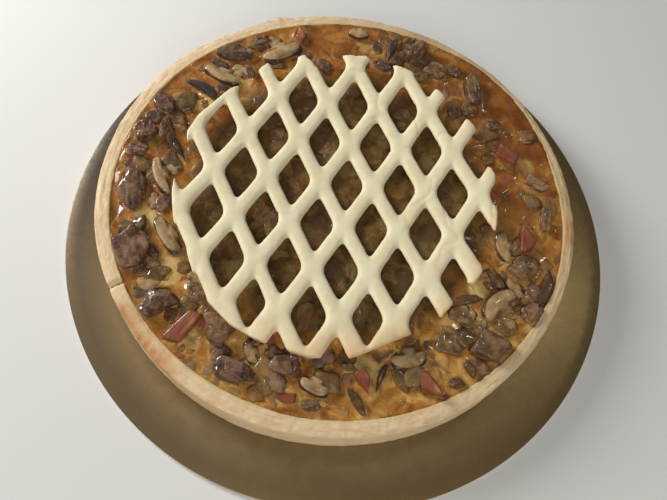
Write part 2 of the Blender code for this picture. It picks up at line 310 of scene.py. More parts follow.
class Finish:
    """A material and the few kinds of node that the finishes here are made of."""

    def __init__(self, name, **constants):
        self.material = bpy.data.materials.new(name)
        self.material.use_nodes = True
        self.tree = self.material.node_tree
        self.shader = self.tree.nodes["Principled BSDF"]
        for socket, value in constants.items():
            self.shader.inputs[socket.replace("_", " ")].default_value = value
        coordinates = self.tree.nodes.new("ShaderNodeTexCoord")
        self.place = Value(self, coordinates.outputs["Object"])

    def node(self, kind, settings, sockets, output=0):
        """Add a node: its settings first, then the values or links of its sockets."""
        made = self.tree.nodes.new(kind)
        for key, value in settings.items():
            if key == "stops":
                self.set_stops(made.color_ramp, value)
            else:
                setattr(made, key, value)
        for key, value in sockets.items():
            if isinstance(value, Value):
                self.tree.links.new(value.socket, made.inputs[key])
            else:
                made.inputs[key].default_value = value
        return Value(self, made.outputs[output])

    def set_stops(self, ramp, stops):
        while len(ramp.elements) < len(stops):
            ramp.elements.new(1.0)
        for element, (position, shade) in zip(ramp.elements, stops):
            element.position = position
            element.color = self.opaque(shade)

    def mask(self, name):
        """A value stored at each point of the piece."""
        return self.node("ShaderNodeAttribute", {"attribute_name": name}, {}, "Fac")

    def stretched(self, x, y, z, place=None):
        """Coordinates with each axis scaled, the object's unless others are given."""
        place = place or self.place
        return self.node("ShaderNodeMapping", {}, {"Vector": place, "Scale": (x, y, z)})

    def vector(self, operation, *values):
        """Arithmetic on whole vectors."""
        return self.node("ShaderNodeVectorMath", {"operation": operation}, dict(enumerate(values)))

    def warped(self, size, amount):
        """Object coordinates pushed about by noise, so that edges drawn on them are ragged."""
        sockets = {"Vector": self.place, "Scale": 1 / size, "Detail": 2.0}
        cloud = self.node("ShaderNodeTexNoise", {}, sockets, "Color")
        push = self.vector("MULTIPLY_ADD", cloud, (2 * amount,) * 3, (-amount,) * 3)
        return self.vector("ADD", self.place, push)

    def on_piece(self):
        """Coordinates that turn with each piece: along it, across it and up."""
        height = self.node("ShaderNodeSeparateXYZ", {}, {"Vector": self.place}, "Z")
        sockets = {"X": self.mask("along"), "Y": self.mask("across"), "Z": height}
        return self.node("ShaderNodeCombineXYZ", {}, sockets)

    def on_ring(self):
        """Coordinates for marks drawn out round a ring: its section is a stored value."""
        down = self.node("ShaderNodeCombineXYZ", {}, {"Z": self.mask("section")})
        return self.vector("ADD", self.stretched(0.15, 0.15, 0.0), down)

    def noise(self, size, detail=3.0, rough=0.55, place=None, warp=0.0):
        """Noise whose marks are about size across."""
        sockets = {"Vector": place or self.place, "Scale": 1 / size, "Detail": detail}
        sockets.update({"Roughness": rough, "Distortion": warp})
        return self.node("ShaderNodeTexNoise", {}, sockets, "Fac")

    def filmed(self, base, grain, more=0.0):
        """Cover the foot of a piece, and smears higher up, with thin custard."""
        smear = self.noise(7 * MM, 4.0, 0.65, warp=0.5).step(0.56, 0.64)
        film = (self.mask("film") + smear * 0.55 + grain * 1.6 - (0.95 - more)).clamp()
        wash = self.mix(self.noise(6 * MM, 2.0).step(0.4, 0.65), "film_brown", "film_yellow")
        return self.mix(film * 0.85, base, wash)

    def shards(self, size, place):
        """Angular cells about size across: how deep inside one, and a number for each."""
        sockets = {"Vector": place, "Scale": 1 / size}
        settings = {"feature": "DISTANCE_TO_EDGE"}
        inside = self.node("ShaderNodeTexVoronoi", settings, sockets, "Distance")
        shade = self.node("ShaderNodeTexVoronoi", {"feature": "F1"}, sockets, "Color")
        return inside, self.node("ShaderNodeSeparateColor", {}, {"Color": shade}, "Red")

    def mix(self, factor, first, second):
        """Blend two colours, each a link or a colour's name."""
        settings = {"data_type": "RGBA"}
        sockets = {0: factor, 6: self.opaque(first), 7: self.opaque(second)}
        return self.node("ShaderNodeMix", settings, sockets, 2)

    @staticmethod
    def opaque(shade):
        """A link as it is, or the fixed or user's colour of that name, made opaque."""
        if isinstance(shade, Value):
            return shade
        user = bpy.context.scene.quiche_colours
        return (*(FIXED_COLOURS.get(shade) or getattr(user, shade)), 1.0)

    def layers(self, base, *coats):
        """Lay colours over a base in turn, each given as how much and which."""
        for factor, shade in coats:
            base = self.mix(factor, base, shade)
        return base

    def ramp(self, factor, *stops):
        """Colours at positions from 0 to 1."""
        return self.node("ShaderNodeValToRGB", {"stops": stops}, {"Fac": factor}, "Color")

    def relief(self, *layers):
        """Bumps one on another, each given as a height, its rise in metres, its strength."""
        below = {}
        for height, distance, strength in layers:
            sockets = {"Strength": strength, "Distance": distance, "Height": height, **below}
            below = {"Normal": self.node("ShaderNodeBump", {}, sockets, "Normal")}
        return below["Normal"]

    def connect(self, **links):
        """Link values to the shader's sockets."""
        for socket, value in links.items():
            self.tree.links.new(value.socket, self.shader.inputs[socket.replace("_", " ")])
        return self.material


# ---- sizes and colours


def metres(name, description, value):
    """A length property, in metres."""
    return bpy.props.FloatProperty(
        name=name, description=description, default=value, unit="LENGTH", precision=4
    )


def ratio(name, description, value, low, high):
    """A bare number between two limits."""
    return bpy.props.FloatProperty(
        name=name, description=description, default=value, min=low, max=high, subtype="FACTOR"
    )


def colour(name, description, value):
    """A colour property in linear red, green and blue."""
    return bpy.props.FloatVectorProperty(
        name=name, description=description, default=value, subtype="COLOR", min=0.0, max=1.0
    )


class QuicheSizes(bpy.types.PropertyGroup):
    """Sizes that a user would change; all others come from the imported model."""

    lattice_pitch: metres("Lattice pitch", "Distance between neighbouring slits", 31.4 * MM)
    lattice_thick: metres("Strip thickness", "Thickness of the lattice's pastry", 4.5 * MM)
    lattice_crest: metres("Lattice height", "Its middle's height above the card", 27.9 * MM)
    lattice_dish: metres("Lattice dish", "How far its middle lies below its edge", 4.7 * MM)
    hole_share: ratio("Hole share", "Size of a hole as a share of its cell", 0.672, 0.3, 0.9)
    custard_relief: metres("Custard relief", "Height of the custard's swells", 0.7 * MM)
    custard_creep: metres("Custard creep", "How far it climbs round each piece", 1.2 * MM)
    piece_spread: ratio("Piece spread", "Width of a piece below the custard", 1.2, 1.0, 1.5)


class QuicheColours(bpy.types.PropertyGroup):
    """Colours that a user would change."""

    card: colour("Card gold", "The card's foil", (0.185, 0.125, 0.042))
    pastry: colour("Pastry", "The baked wall of the case", (0.63, 0.495, 0.315))
    pastry_toast: colour("Toasted pastry", "Browned edges", (0.46, 0.24, 0.10))
    lattice: colour("Lattice pastry", "The pale lattice", (0.700, 0.640, 0.440))
    lattice_toast: colour("Toasted lattice", "Its browned ends", (0.60, 0.36, 0.17))
    custard: colour("Custard", "Baked orange custard", (0.34, 0.130, 0.020))
    custard_brown: colour("Browned custard", "The darkest skin", (0.125, 0.038, 0.007))
    custard_cream: colour("Pale custard", "Unbrowned custard", (0.52, 0.37, 0.13))
    mushroom: colour("Mushroom skin", "Dark brown skin", (0.132, 0.075, 0.046))
    # Lighter skin in patches and ribs, and painted light on the raised lumps of caps and chunks
    mushroom_light: colour("Rubbed skin", "Lighter skin", (0.260, 0.160, 0.100))
    mushroom_flesh: colour("Mushroom flesh", "Cut flesh", (0.27, 0.165, 0.068))
    mushroom_olive: colour("Soaked mushroom", "Olive flesh", (0.115, 0.070, 0.026))
    mushroom_blue: colour("Wet skin", "Blue-black skin", (0.030, 0.032, 0.042))
    ham: colour("Ham", "Cured ham", (0.200, 0.052, 0.030))
    ham_fat: colour("Ham edge", "Browned or fatty edge", (0.46, 0.24, 0.13))


def sizes():
    """The user's sizes."""
    return bpy.context.scene.quiche_sizes


# Fixed colours that the finishes mix with the user's, in linear red, green and blue
FIXED_COLOURS = {
    # Foil colours for painted shade on the card's left and a painted reflection of the wall near
    # its front
    "foil_dull": (0.080, 0.067, 0.055), "foil_glow": (0.44, 0.31, 0.155),
    "foil_mottle": (0.20, 0.135, 0.055), "card_white": (0.72, 0.68, 0.60),
    "dough_cloud": (0.60, 0.43, 0.245), "dough_flour": (0.78, 0.65, 0.45),
    "dough_streak": (0.50, 0.34, 0.17), "dough_speck": (0.48, 0.30, 0.14),
    "dough_moist": (0.52, 0.37, 0.14), "dough_stain": (0.42, 0.19, 0.06),
    # painted shade for the case's right and back
    "dough_baked": (0.40, 0.285, 0.140),
    "custard_shadow": (0.22, 0.070, 0.011), "custard_fleck": (0.44, 0.200, 0.040),
    "custard_pale": (0.42, 0.235, 0.055), "custard_dark": (0.17, 0.046, 0.009),
    # the golden colour is painted light for the custard's near side
    "custard_golden": (0.60, 0.33, 0.080), "custard_amber": (0.36, 0.105, 0.014),
    "custard_freckle": (0.34, 0.12, 0.02), "cream_fleck": (0.42, 0.20, 0.05),
    "buried_brown": (0.13, 0.072, 0.035), "buried_olive": (0.24, 0.15, 0.06),
    "buried_black": (0.055, 0.034, 0.026), "buried_ham": (0.30, 0.085, 0.05),
    # Under the lattice: darker colours, partly its own unbrowned custard and pieces, partly
    # painted shade
    "shade_black": (0.055, 0.030, 0.010), "shade_brown": (0.10, 0.056, 0.016),
    "shade_olive": (0.15, 0.088, 0.026), "shade_orange": (0.23, 0.09, 0.015),
    "shade_piece": (0.085, 0.050, 0.022), "shade_slice": (0.16, 0.105, 0.038),
    "strip_cloud": (0.61, 0.54, 0.335), "strip_speck": (0.62, 0.50, 0.27),
    # painted shade under the lattice's strips and in its folds
    "strip_under": (0.62, 0.47, 0.22), "strip_fold": (0.58, 0.45, 0.22),
    "film_brown": (0.24, 0.085, 0.016), "film_yellow": (0.36, 0.20, 0.055),
    "skin_dark": (0.062, 0.028, 0.018), "skin_grain": (0.30, 0.20, 0.12),
    # Near-black: real skin and gills, and painted shade in hollows, folds and low parts
    "skin_hollow": (0.024, 0.013, 0.008),
    "flesh_pale": (0.44, 0.31, 0.17), "flesh_soaked": (0.075, 0.045, 0.02),
    "ham_dark": (0.13, 0.026, 0.014), "ham_fibre": (0.50, 0.25, 0.16),
    "floor": (0.62, 0.62, 0.61),
}


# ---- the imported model's shape


def node_points(node):
    """The corners of a CAD node as an array."""
    return read(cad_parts[node].data.vertices, "co", 3)


QUICHE_CENTRE = (-3.7 * MM, 7.5 * MM)
CASE_BEARINGS = 64


class Case:
    """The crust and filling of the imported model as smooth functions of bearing."""

    def __init__(self):
        card_low, card_high = (np.array(corner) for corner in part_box("card"))
        self.card_radius = (card_high[0] - card_low[0]) / 2
        self.card_top = card_high[2]
        self.centre = np.array(QUICHE_CENTRE)
        crust = node_points("crust")
        flat = crust[:, :2] - self.centre
        reach = np.hypot(*flat.T)
        self.foot = crust[:, 2].min()
        turn = np.arctan2(flat[:, 1], flat[:, 0]) / math.tau * CASE_BEARINGS
        turn = np.round(turn).astype(int) % CASE_BEARINGS
        high = crust[:, 2] > 0.8 * crust[:, 2].max()
        self.bearings = np.arange(CASE_BEARINGS) / CASE_BEARINGS * math.tau
        groups = [turn == index for index in range(CASE_BEARINGS)]
        self.outers = np.array([reach[group].max() for group in groups])
        self.inners = np.array([reach[group & high].min() for group in groups])
        self.tops = np.array([crust[group, 2].max() for group in groups])
        self.fit_level()

    def fit_level(self):
        """Least-squares fit of smooth waves to the top of the CAD filling."""
        filling = node_points("filling")
        top = filling[filling[:, 2] > filling[:, 2].max() - 7 * MM]
        terms = self.level_terms(*(top[:, :2] - self.centre).T)
        self.weights = np.linalg.lstsq(terms, top[:, 2], rcond=None)[0]

    def level_terms(self, x, y):
        """Powers of the reach times waves round the bearing."""
        reach = np.hypot(x, y) / self.outers.mean()
        bearing = np.arctan2(y, x)
        terms = [reach**0, reach**2, reach**4, reach**8, reach**14]
        for wave in (1, 2, 3):
            for power in (2 + wave, 10, 18):
                terms += [reach**power * np.cos(wave * bearing)]
                terms += [reach**power * np.sin(wave * bearing)]
        return np.stack(terms, -1)

    def level(self, x, y):
        """Height of the filling at a place round the quiche's middle."""
        return self.level_terms(x, y) @ self.weights

    def around(self, values, angle):
        return np.interp(angle, self.bearings, values, period=math.tau)

    def outer(self, angle):
        return self.around(self.outers, angle)

    def inner(self, angle):
        return self.around(self.inners, angle)

    def top(self, angle):
        return self.around(self.tops, angle)


CASE = Case()


class Bed:
    """Where a topping lies: its middle, its two axes, its size and its top, from its node."""

    def __init__(self, node):
        points = node_points(node)
        flat = points[:, :2]
        self.node = node
        self.seed = sum(ord(letter) * (index + 3) for index, letter in enumerate(node))
        self.middle = (flat.max(0) + flat.min(0)) / 2
        spread_of = np.cov((flat - flat.mean(0)).T)
        self.along = np.linalg.eigh(spread_of)[1][:, 1]
        self.side = np.array([-self.along[1], self.along[0]])
        u = (flat - self.middle) @ self.along
        v = (flat - self.middle) @ self.side
        self.middle = self.middle + self.along * (u.max() + u.min()) / 2
        self.middle = self.middle + self.side * (v.max() + v.min()) / 2
        self.length = u.max() - u.min()
        self.width = v.max() - v.min()
        self.bow = -np.polyfit(u, v, 2)[0] * (self.length / 2) ** 2
        self.base = float(CASE.level(*(self.middle - CASE.centre)))
        self.height = points[:, 2].max() - self.base

    def laid(self, local):
        """Turn a grid of local points into place: x runs along, z counts from the filling."""
        flat = self.middle + local[..., :1] * self.along + local[..., 1:2] * self.side
        lift = CASE.level(flat[..., 0] - CASE.centre[0], flat[..., 1] - CASE.centre[1])
        return spread(flat[..., 0], flat[..., 1], lift + local[..., 2])

    def reach(self, x, y):
        """How far a place lies outside the piece's oval, in metres."""
        offset = spread(x, y)[..., :2] - self.middle
        u = offset @ self.along / (self.length / 2)
        v = offset @ self.side / (self.width / 2)
        return (np.hypot(u, v) - 1) * math.sqrt(self.length * self.width) / 2


def beds(*kinds):
    """The beds of every node of the given kinds, in order."""
    nodes = sorted(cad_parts)
    return [Bed(node) for kind in kinds for node in nodes if node.startswith(kind)]


def finish_piece(obj, material, slot, *nodes):
    """Give a piece its material, hang it on the body and hide the nodes it stands for."""
    obj.data.materials.append(material)
    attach(obj, BODY)
    if nodes:
        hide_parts(*nodes)


# ---- card


CARD_EDGE = 0.5 * MM
CARD_STEPS = 360
# Bearings in degrees: away from the first the foil gets painted shade, round the second a painted
# reflection of the wall
CARD_LIT_SIDE, CARD_REFLECTION_SIDE = 10, -105


def card_finish():
    """Brushed gold foil, mottled, over white board, with painted shade on its left and a painted
    reflection of the wall near its front.
    """
    finish = Finish("gold_foil_card", Metallic=0.0)
    foil = finish.mask("foil")
    mottle = finish.noise(9 * MM, 4.0, 0.6)
    grain = finish.noise(0.7 * MM, 2.0, 0.5, finish.stretched(1.0, 7.0, 1.0))
    gold = finish.layers(
        "card",
        # painted shade on the left, then a painted reflection of the wall near the front
        (finish.mask("dull"), "foil_dull"),
        (finish.mask("glow"), "foil_glow"),
        (mottle.step(0.3, 0.75) * 0.35, "foil_mottle"),
    )
    relief = finish.relief(
        (grain, 0.04 * MM, 0.4), (finish.noise(30 * MM, 2.0), 0.15 * MM, 0.3)
    )
    return finish.connect(
        Base_Color=finish.mix(foil, "card_white", gold),
        Roughness=0.22 + 0.05 * mottle + 0.06 * grain,
        Metallic=foil * 0.62,
        Normal=relief,
    )


def build_card():
    """A disc turned from a profile of radius and height, its cut edge rounded over.

    The foil covers the top and rolls a little way over the white edge.  Its left is
    darkened with painted shade, and near the front, close to the bright wall, a painted
    reflection of that wall lightens it.
    """
    low, high = (corner[2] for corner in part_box("card"))
    radius = CASE.card_radius
    turn = np.linspace(0, math.pi / 2, 5)
    steps = np.linspace(0, 1, 24)[1:]
    profile = [(radius * share, low) for share in (0.3, 0.7, 0.95)]
    over = CARD_EDGE * (1 - np.sin(turn)), CARD_EDGE * (1 - np.cos(turn))
    profile += [(radius - inward, low + up) for inward, up in zip(*over)]
    profile += [(radius - inward, high - down) for down, inward in zip(*over)]
    profile += [((radius - CARD_EDGE) * (1 - share * 0.99), high) for share in steps]
    profile = np.array(profile)
    angle = np.arange(CARD_STEPS) / CARD_STEPS * math.tau
    reach = profile[:, :1] + 0 * angle
    height = profile[:, 1:] + 0 * angle
    foil = ease(height, high - 0.45 * MM, high - 0.15 * MM)
    # painted shade on the foil's left, and a painted reflection of the bright wall near the front,
    # strongest beside it
    dull = ease(-facing(angle, CARD_LIT_SIDE), -0.2, 0.9)
    front = ease(facing(angle, CARD_REFLECTION_SIDE), 0.1, 0.95)
    band = peak(reach - CASE.outer(angle) - 4 * MM, 7 * MM)
    masks = {"foil": foil, "dull": dull, "glow": front * (0.45 + 0.5 * band)}
    obj = globe_mesh("gold_card", [(polar(reach, angle, height), masks)])
    finish_piece(obj, card_finish(), "card", "card")


# ---- pastry case


CASE_STEPS = 900
# The bearing of the case's painted shade, in degrees
CASE_SHADED_SIDE = 35
# The rounding at the wall's foot and rim, as shares of its width and height
FOOT_ROUND, RIM_ROUND = (0.12, 0.06), (0.10, 0.045)
# Marks on the rim, each a bearing and a width in degrees, or where it starts and ends
NOTCH_BEARING, NOTCH_WIDE, NOTCH_DEEP = 216.3, 1.3 * MM, 2.8 * MM
BROKEN_RIM, LUMPY_RIM, SPILL_INSIDE = (233, 9), (116.5, 4.5), (1.0, 4.2)
STAIN_BEARINGS = (219, 244)
# The wall's size where it is laid out flat: across the rim, and up
WALL_FLAT = (8 * MM, 26 * MM)


def case_profile():
    """Points down the case's section: how far across the wall, how high, and which part.

    Across is 0 at the inner face and 1 at the outer; height is 0 at the foot and 1 at
    the rim.  The section runs from the middle of the underside out and up the wall,
    over the rim and down inside.
    """
    turn = np.linspace(0, math.pi / 2, 6)[1:-1]
    (foot_wide, foot_high), (rim_wide, rim_high) = FOOT_ROUND, RIM_ROUND
    rows = [(-share, 0.0) for share in (12.0, 7.0, 3.0, 0.6)]
    rows += [(1 - foot_wide, 0.0)]
    rows += [(1 - foot_wide * (1 - math.sin(t)), foot_high * (1 - math.cos(t))) for t in turn]
    rows += [(1.0, height) for height in np.linspace(foot_high, 1 - rim_high, 24)]
    rows += [(1 - rim_wide * (1 - math.cos(t)), 1 - rim_high * (1 - math.sin(t))) for t in turn]
    rows += [(across, 1.0) for across in np.linspace(1 - rim_wide, rim_wide, 13)]
    rows += [(rim_wide * (1 - math.sin(t)), 1 - rim_high * (1 - math.cos(t))) for t in turn]
    rows += [(0.0, height) for height in np.linspace(0.95, 0.30, 12)]
    rows += [(-0.8, 0.17), (-3.0, 0.16), (-7.0, 0.16), (-12.0, 0.16)]
    return np.array(rows)


def case_finish():
    """Floury dough, streaked round the ring, toasted at the edges, moist inside, darkened with
    painted shade towards the right and back.
    """
    finish = Finish("baked_pastry_case", Specular_IOR_Level=0.25)
    inside, stain = finish.mask("moist"), finish.mask("stain")
    cloud = finish.noise(7 * MM, 4.0, 0.6)
    speck = finish.noise(0.9 * MM, 3.0, 0.65)
    streak = finish.noise(1.5 * MM, 4.0, 0.6, finish.on_ring())
    base = finish.layers(
        finish.mix(cloud.step(0.3, 0.72), "pastry", "dough_cloud"),
        (streak.step(0.50, 0.70) * 0.5, "dough_flour"),
        (streak.step(0.46, 0.34) * 0.4, "dough_streak"),
        (speck.step(0.58, 0.8) * 0.35, "dough_speck"),
        (finish.mask("toast") * (0.55 + 0.6 * streak), "pastry_toast"),
        (inside * 0.75, "dough_moist"),
        ((stain * (0.5 + cloud)).clamp(), "dough_stain"),
        # painted shade towards the right and back
        (finish.mask("baked") * 0.85, "dough_baked"),
    )
    relief = finish.relief(
        (streak, 0.5 * MM, 0.5),
        (speck, 0.35 * MM, 0.6),
        (finish.noise(0.35 * MM, 2.0), 0.10 * MM, 0.5),
    )
    rough = 0.78 - 0.25 * inside - 0.22 * stain
    return finish.connect(Base_Color=base, Roughness=rough, Normal=relief)


def build_case():
    """The pastry wall: its section carried round a ring, roughened by noise.

    Long noise runs round the wall like the streaks of rolled dough; the rim is cut
    flat and pitted, with one notch, a broken stretch and places where custard ran over.
    """
    rows = case_profile()
    angle = (np.arange(CASE_STEPS) / CASE_STEPS - 0.5) * math.tau
    across = rows[:, :1] + 0 * angle
    height = rows[:, 1:] + 0 * angle
    inner, outer, top = CASE.inner(angle), CASE.outer(angle), CASE.top(angle)
    inside = across < 0
    reach = np.where(inside, inner * (1 + across / 12.3), inner + across * (outer - inner))
    level = CASE.foot + height * (top - CASE.foot)
    on_wall = ease(across, 0.90, 1.0) * ease(height, 0.02, 0.2)
    on_rim = ease(height, 0.93, 1.0)
    on_inner = (1 - ease(across, 0.0, 0.1)) * ease(height, 0.25, 0.5)
    ring = polar(outer, angle, height * 25 * MM)
    streak = noise(ring * (0.25, 0.25, 1.0), 1.6 * MM, 11, 3)
    rubble = noise(ring, 3.2 * MM, 12, 3)
    low_wall = 1 - ease(height, 0.25, 0.75)
    reach += on_wall * (0.16 * streak + (0.12 + 0.22 * low_wall) * rubble) * MM
    reach += on_wall * 0.7 * MM * low_wall * ease(height, -0.1, 0.12)
    reach += on_inner * 0.30 * rubble * MM
    place = polar(reach, angle)
    pits = noise(place, 1.3 * MM, 21, 2)
    waves = noise(place, 9 * MM, 22, 2)
    level += on_rim * (0.22 * pits + 0.40 * waves) * MM
    drawn = polar(outer, angle, across * WALL_FLAT[0]) * (0.15, 0.15, 1.0)
    level += on_rim * 0.30 * noise(drawn, 1.8 * MM, 24, 2) * MM
    level -= on_rim * 0.35 * MM * ease(across, 0.55, 1.0) * (1 + noise(place, 4 * MM, 23))
    arc = degrees_from(angle, NOTCH_BEARING) * math.pi / 180 * outer
    notch = peak(arc, NOTCH_WIDE) * ease(height, 0.72, 1.0)
    level -= notch * NOTCH_DEEP
    reach -= notch * on_wall * 0.9 * MM
    broken = swell(angle, *BROKEN_RIM) * on_rim
    level -= broken * ease(across, 0.25, 0.9) * (1.3 + 0.8 * rubble) * MM
    lumps = swell(angle, *LUMPY_RIM) * (on_wall * ease(height, 0.6, 0.95) + on_rim)
    reach += lumps * ease(across, 0.4, 1.0) * (0.9 + 1.1 * rubble) * MM
    level += lumps * ease(across, 0.4, 0.9) * 0.8 * MM * rubble
    low, high = STAIN_BEARINGS
    degrees = np.degrees(angle) % 360
    spilt = ease(degrees, low, low + 4) * (1 - ease(degrees, high - 5, high))
    stain = spilt * (0.35 + 0.65 * ease(across, 0.3, 0.9)) * ease(height, 0.5, 0.9)
    patch = swell(angle, *SPILL_INSIDE) * ease(across, 0.0, 0.25) * ease(height, 0.55, 0.95)
    level += patch * on_rim * 0.5 * MM
    stain = np.maximum(stain * 0.8, patch * 1.2)
    edge = on_rim * ease(across, 0.7, 1.0) + 0.5 * on_wall * ease(height, 0.8, 1.0)
    patches = ease(noise(place, 22 * MM, 31, 2), -0.1, 0.6)
    toast = np.clip(0.30 * edge * patches + 0.35 * low_wall * on_wall * patches, 0, 1)
    moist = on_inner + on_rim * (1 - ease(across, 0.05, 0.35)) * 0.5
    points = polar(reach, angle, level) + (*CASE.centre, 0.0)
    step = np.diff(rows * WALL_FLAT, axis=0, prepend=rows[:1])
    masks = {
        "toast": toast,
        "moist": np.clip(moist, 0, 1),
        "stain": np.clip(stain, 0, 1),
        # painted shade towards the right and back, broken up by patches
        "baked": ease(facing(angle, CASE_SHADED_SIDE), -0.1, 0.9) * (0.6 + 0.5 * patches),
        "section": np.cumsum(np.hypot(step[:, :1], step[:, 1:]), 0),
    }
    obj = globe_mesh("pastry_case", [(points, masks)])
    finish_piece(obj, case_finish(), "crust", "crust")


# ---- custard


CUSTARD_GRID = 300
BLISTERS, DIMPLES, DIMPLE_DEEP = 70, 90, 0.4 * MM
LATTICE_SHADE = 92 * MM
CUSTARD_FOOT = 5 * MM
# The bearing of the custard's painted light, in degrees
CUSTARD_LIT_SIDE = -70


def disc_grid(count):
    """Points spread evenly over a unit disc, row by row.

    A square grid is bent into circles: the larger of u and v is the reach, and the
    ratio of the two turns into the bearing.
    """
    line = np.linspace(-1, 1, count)
    u, v = np.meshgrid(line, line)
    wide = np.abs(u) > np.abs(v)
    reach = np.where(wide, u, v)
    safe = np.where(reach == 0, 1.0, reach)
    turn = np.where(wide, math.pi / 4 * v / safe, math.pi / 2 - math.pi / 4 * u / safe)
    return reach * np.cos(turn), reach * np.sin(turn)


def patch_mask(x, y, patches):
    """Soft round patches, their edges broken up by noise."""
    place = spread(x, y)
    ragged = 0.9 * noise(place, 9 * MM, 41, 4)
    total = np.zeros(x.shape)
    for px, py, radius, strength in patches:
        away = np.hypot(x - px * MM, y - py * MM) / (radius * MM)
        total = np.maximum(total, strength * (1 - ease(away + ragged, 0.55, 1.15)))
    return total


def custard_height(x, y, pieces):
    """The custard's surface round the quiche's middle.

    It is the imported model's level, plus swells of noise, plus a rise round each piece
    that it has baked on to and along the wall, plus round blisters and dimples.
    """
    size = sizes()
    place = spread(x, y)
    height = CASE.level(x, y)
    shaded = 1 - ease(np.hypot(x, y), LATTICE_SHADE - 14 * MM, LATTICE_SHADE)
    height += size.custard_relief * (1 + shaded) * noise(place, 17 * MM, 51, 2)
    height += 0.30 * MM * noise(place, 5 * MM, 52, 2)
    crease = peak(noise(place, 15 * MM, 54, 2), 0.09) * (1 - shaded)
    crease = crease * (1 - 0.85 * patch_mask(x, y, SMOOTH_PATCHES))
    height -= 0.7 * MM * crease
    near = np.full(x.shape, 1.0)
    for piece in pieces:
        gap = piece.reach(x + CASE.centre[0], y + CASE.centre[1])
        near = np.minimum(near, gap)
    past = near - 0.8 * MM
    creep = peak(past, np.where(past > 0, 2.6 * MM, 1.6 * MM))
    ragged = 0.8 + 0.6 * noise(place, 4 * MM, 53, 2)
    height += size.custard_creep * creep * ragged
    wall = CASE.inner(np.arctan2(y, x)) - np.hypot(x, y)
    height += 0.7 * MM * peak(wall, 2.2 * MM)
    rng = np.random.default_rng(7)
    for index in range(BLISTERS + DIMPLES):
        turn = rng.uniform(0, math.tau)
        reach = math.sqrt(rng.uniform(0.45, 0.98)) * 122 * MM
        radius = rng.uniform(1.0, 3.2) * MM
        away = np.hypot(x - reach * math.cos(turn), y - reach * math.sin(turn)) / radius
        lift = rng.uniform(0.25, 0.6) * MM if index < BLISTERS else -DIMPLE_DEEP
        height += lift * np.exp(-(away**4)) * (0.4 + 0.6 * np.minimum(away, 1))
    return height, near, shaded, crease


def custard_finish():
    """Orange custard, browned and creamy in patches, lit with painted light on its near side, with
    chopped pieces below its skin.

    Cells with sharp edges stand for the buried pieces, each of one kind; under the
    lattice a darker, greener mixture takes over: partly the unbrowned, soaked custard it
    covered, partly painted shade of the lattice.
    """
    finish = Finish("baked_custard", Coat_Roughness=0.09, Specular_IOR_Level=0.10)
    brown, cream, deep, crowd = (finish.mask(n) for n in ("brown", "cream", "deep", "crowd"))
    cloud = finish.noise(10 * MM, 4.0, 0.6, warp=0.6)
    fleck = finish.noise(2.2 * MM, 4.0, 0.6, warp=0.4)
    fine = finish.noise(0.8 * MM, 3.0, 0.6)
    broad = finish.noise(19 * MM, 3.0, 0.6, warp=1.2)
    place = finish.warped(4 * MM, 1.6 * MM)
    inside, kind = finish.shards(8.5 * MM, place)
    large, sort = finish.shards(15 * MM, place)
    buried = inside.step(0.05, 0.17) * crowd
    # under the lattice: partly unbrowned custard and pieces, partly painted shade of the lattice
    under = finish.ramp(
        finish.noise(8 * MM, 3.0, 0.55, warp=0.8),
        (0.30, "shade_black"), (0.46, "shade_brown"), (0.60, "shade_olive"),
        (0.76, "shade_orange"),
    )
    within = large.step(0.03, 0.10)
    under = finish.layers(
        under,
        (within * sort.step(0.5, 0.52), "shade_piece"),
        (within * sort.step(0.8, 0.82), "shade_slice"),
    )
    base = finish.layers(
        finish.mix(cloud.step(0.38, 0.62), "custard", "custard_shadow"),
        (fleck.step(0.48, 0.70) * 0.5, "custard_fleck"),
        (broad.step(0.55, 0.64) * 0.7, "custard_pale"),
        (broad.step(0.45, 0.36) * 0.8, "custard_dark"),
        # painted light on the near side
        (finish.mask("golden") * cloud.step(0.40, 0.62), "custard_golden"),
        (brown * 0.35, "custard_amber"),
        ((brown * (0.45 + 0.9 * fleck)).clamp(), "custard_brown"),
        (fine.step(0.58, 0.76) * 0.4 * brown, "custard_freckle"),
        ((cream * (0.5 + 0.9 * cloud)).clamp(), "custard_cream"),
        (cream * fine.step(0.5, 0.7) * 0.45, "cream_fleck"),
        (kind.step(0.42, 0.44) * buried * 0.85, "buried_brown"),
        (kind.step(0.66, 0.67) * buried * 0.9, "buried_olive"),
        (kind.step(0.82, 0.83) * buried * 0.9, "buried_black"),
        (kind.step(0.93, 0.94) * buried, "buried_ham"),
        # the darker mixture under the lattice, partly painted shade
        (deep * 0.95, under),
    )
    lift = inside.step(0.0, 0.25) * crowd * kind.step(0.2, 0.8)
    relief = finish.relief(
        (fine, 0.26 * MM, 0.6),
        (fleck, 1.1 * MM, 0.6),
        (lift + large.step(0.0, 0.2) * deep * 0.4, 1.0 * MM, 0.6),
    )
    rough = 0.34 + 0.22 * fleck + 0.12 * deep
    coat = (0.22 + 0.58 * cloud.step(0.46, 0.62)) * (1 - 0.7 * deep)
    return finish.connect(Base_Color=base, Roughness=rough, Coat_Weight=coat, Normal=relief)


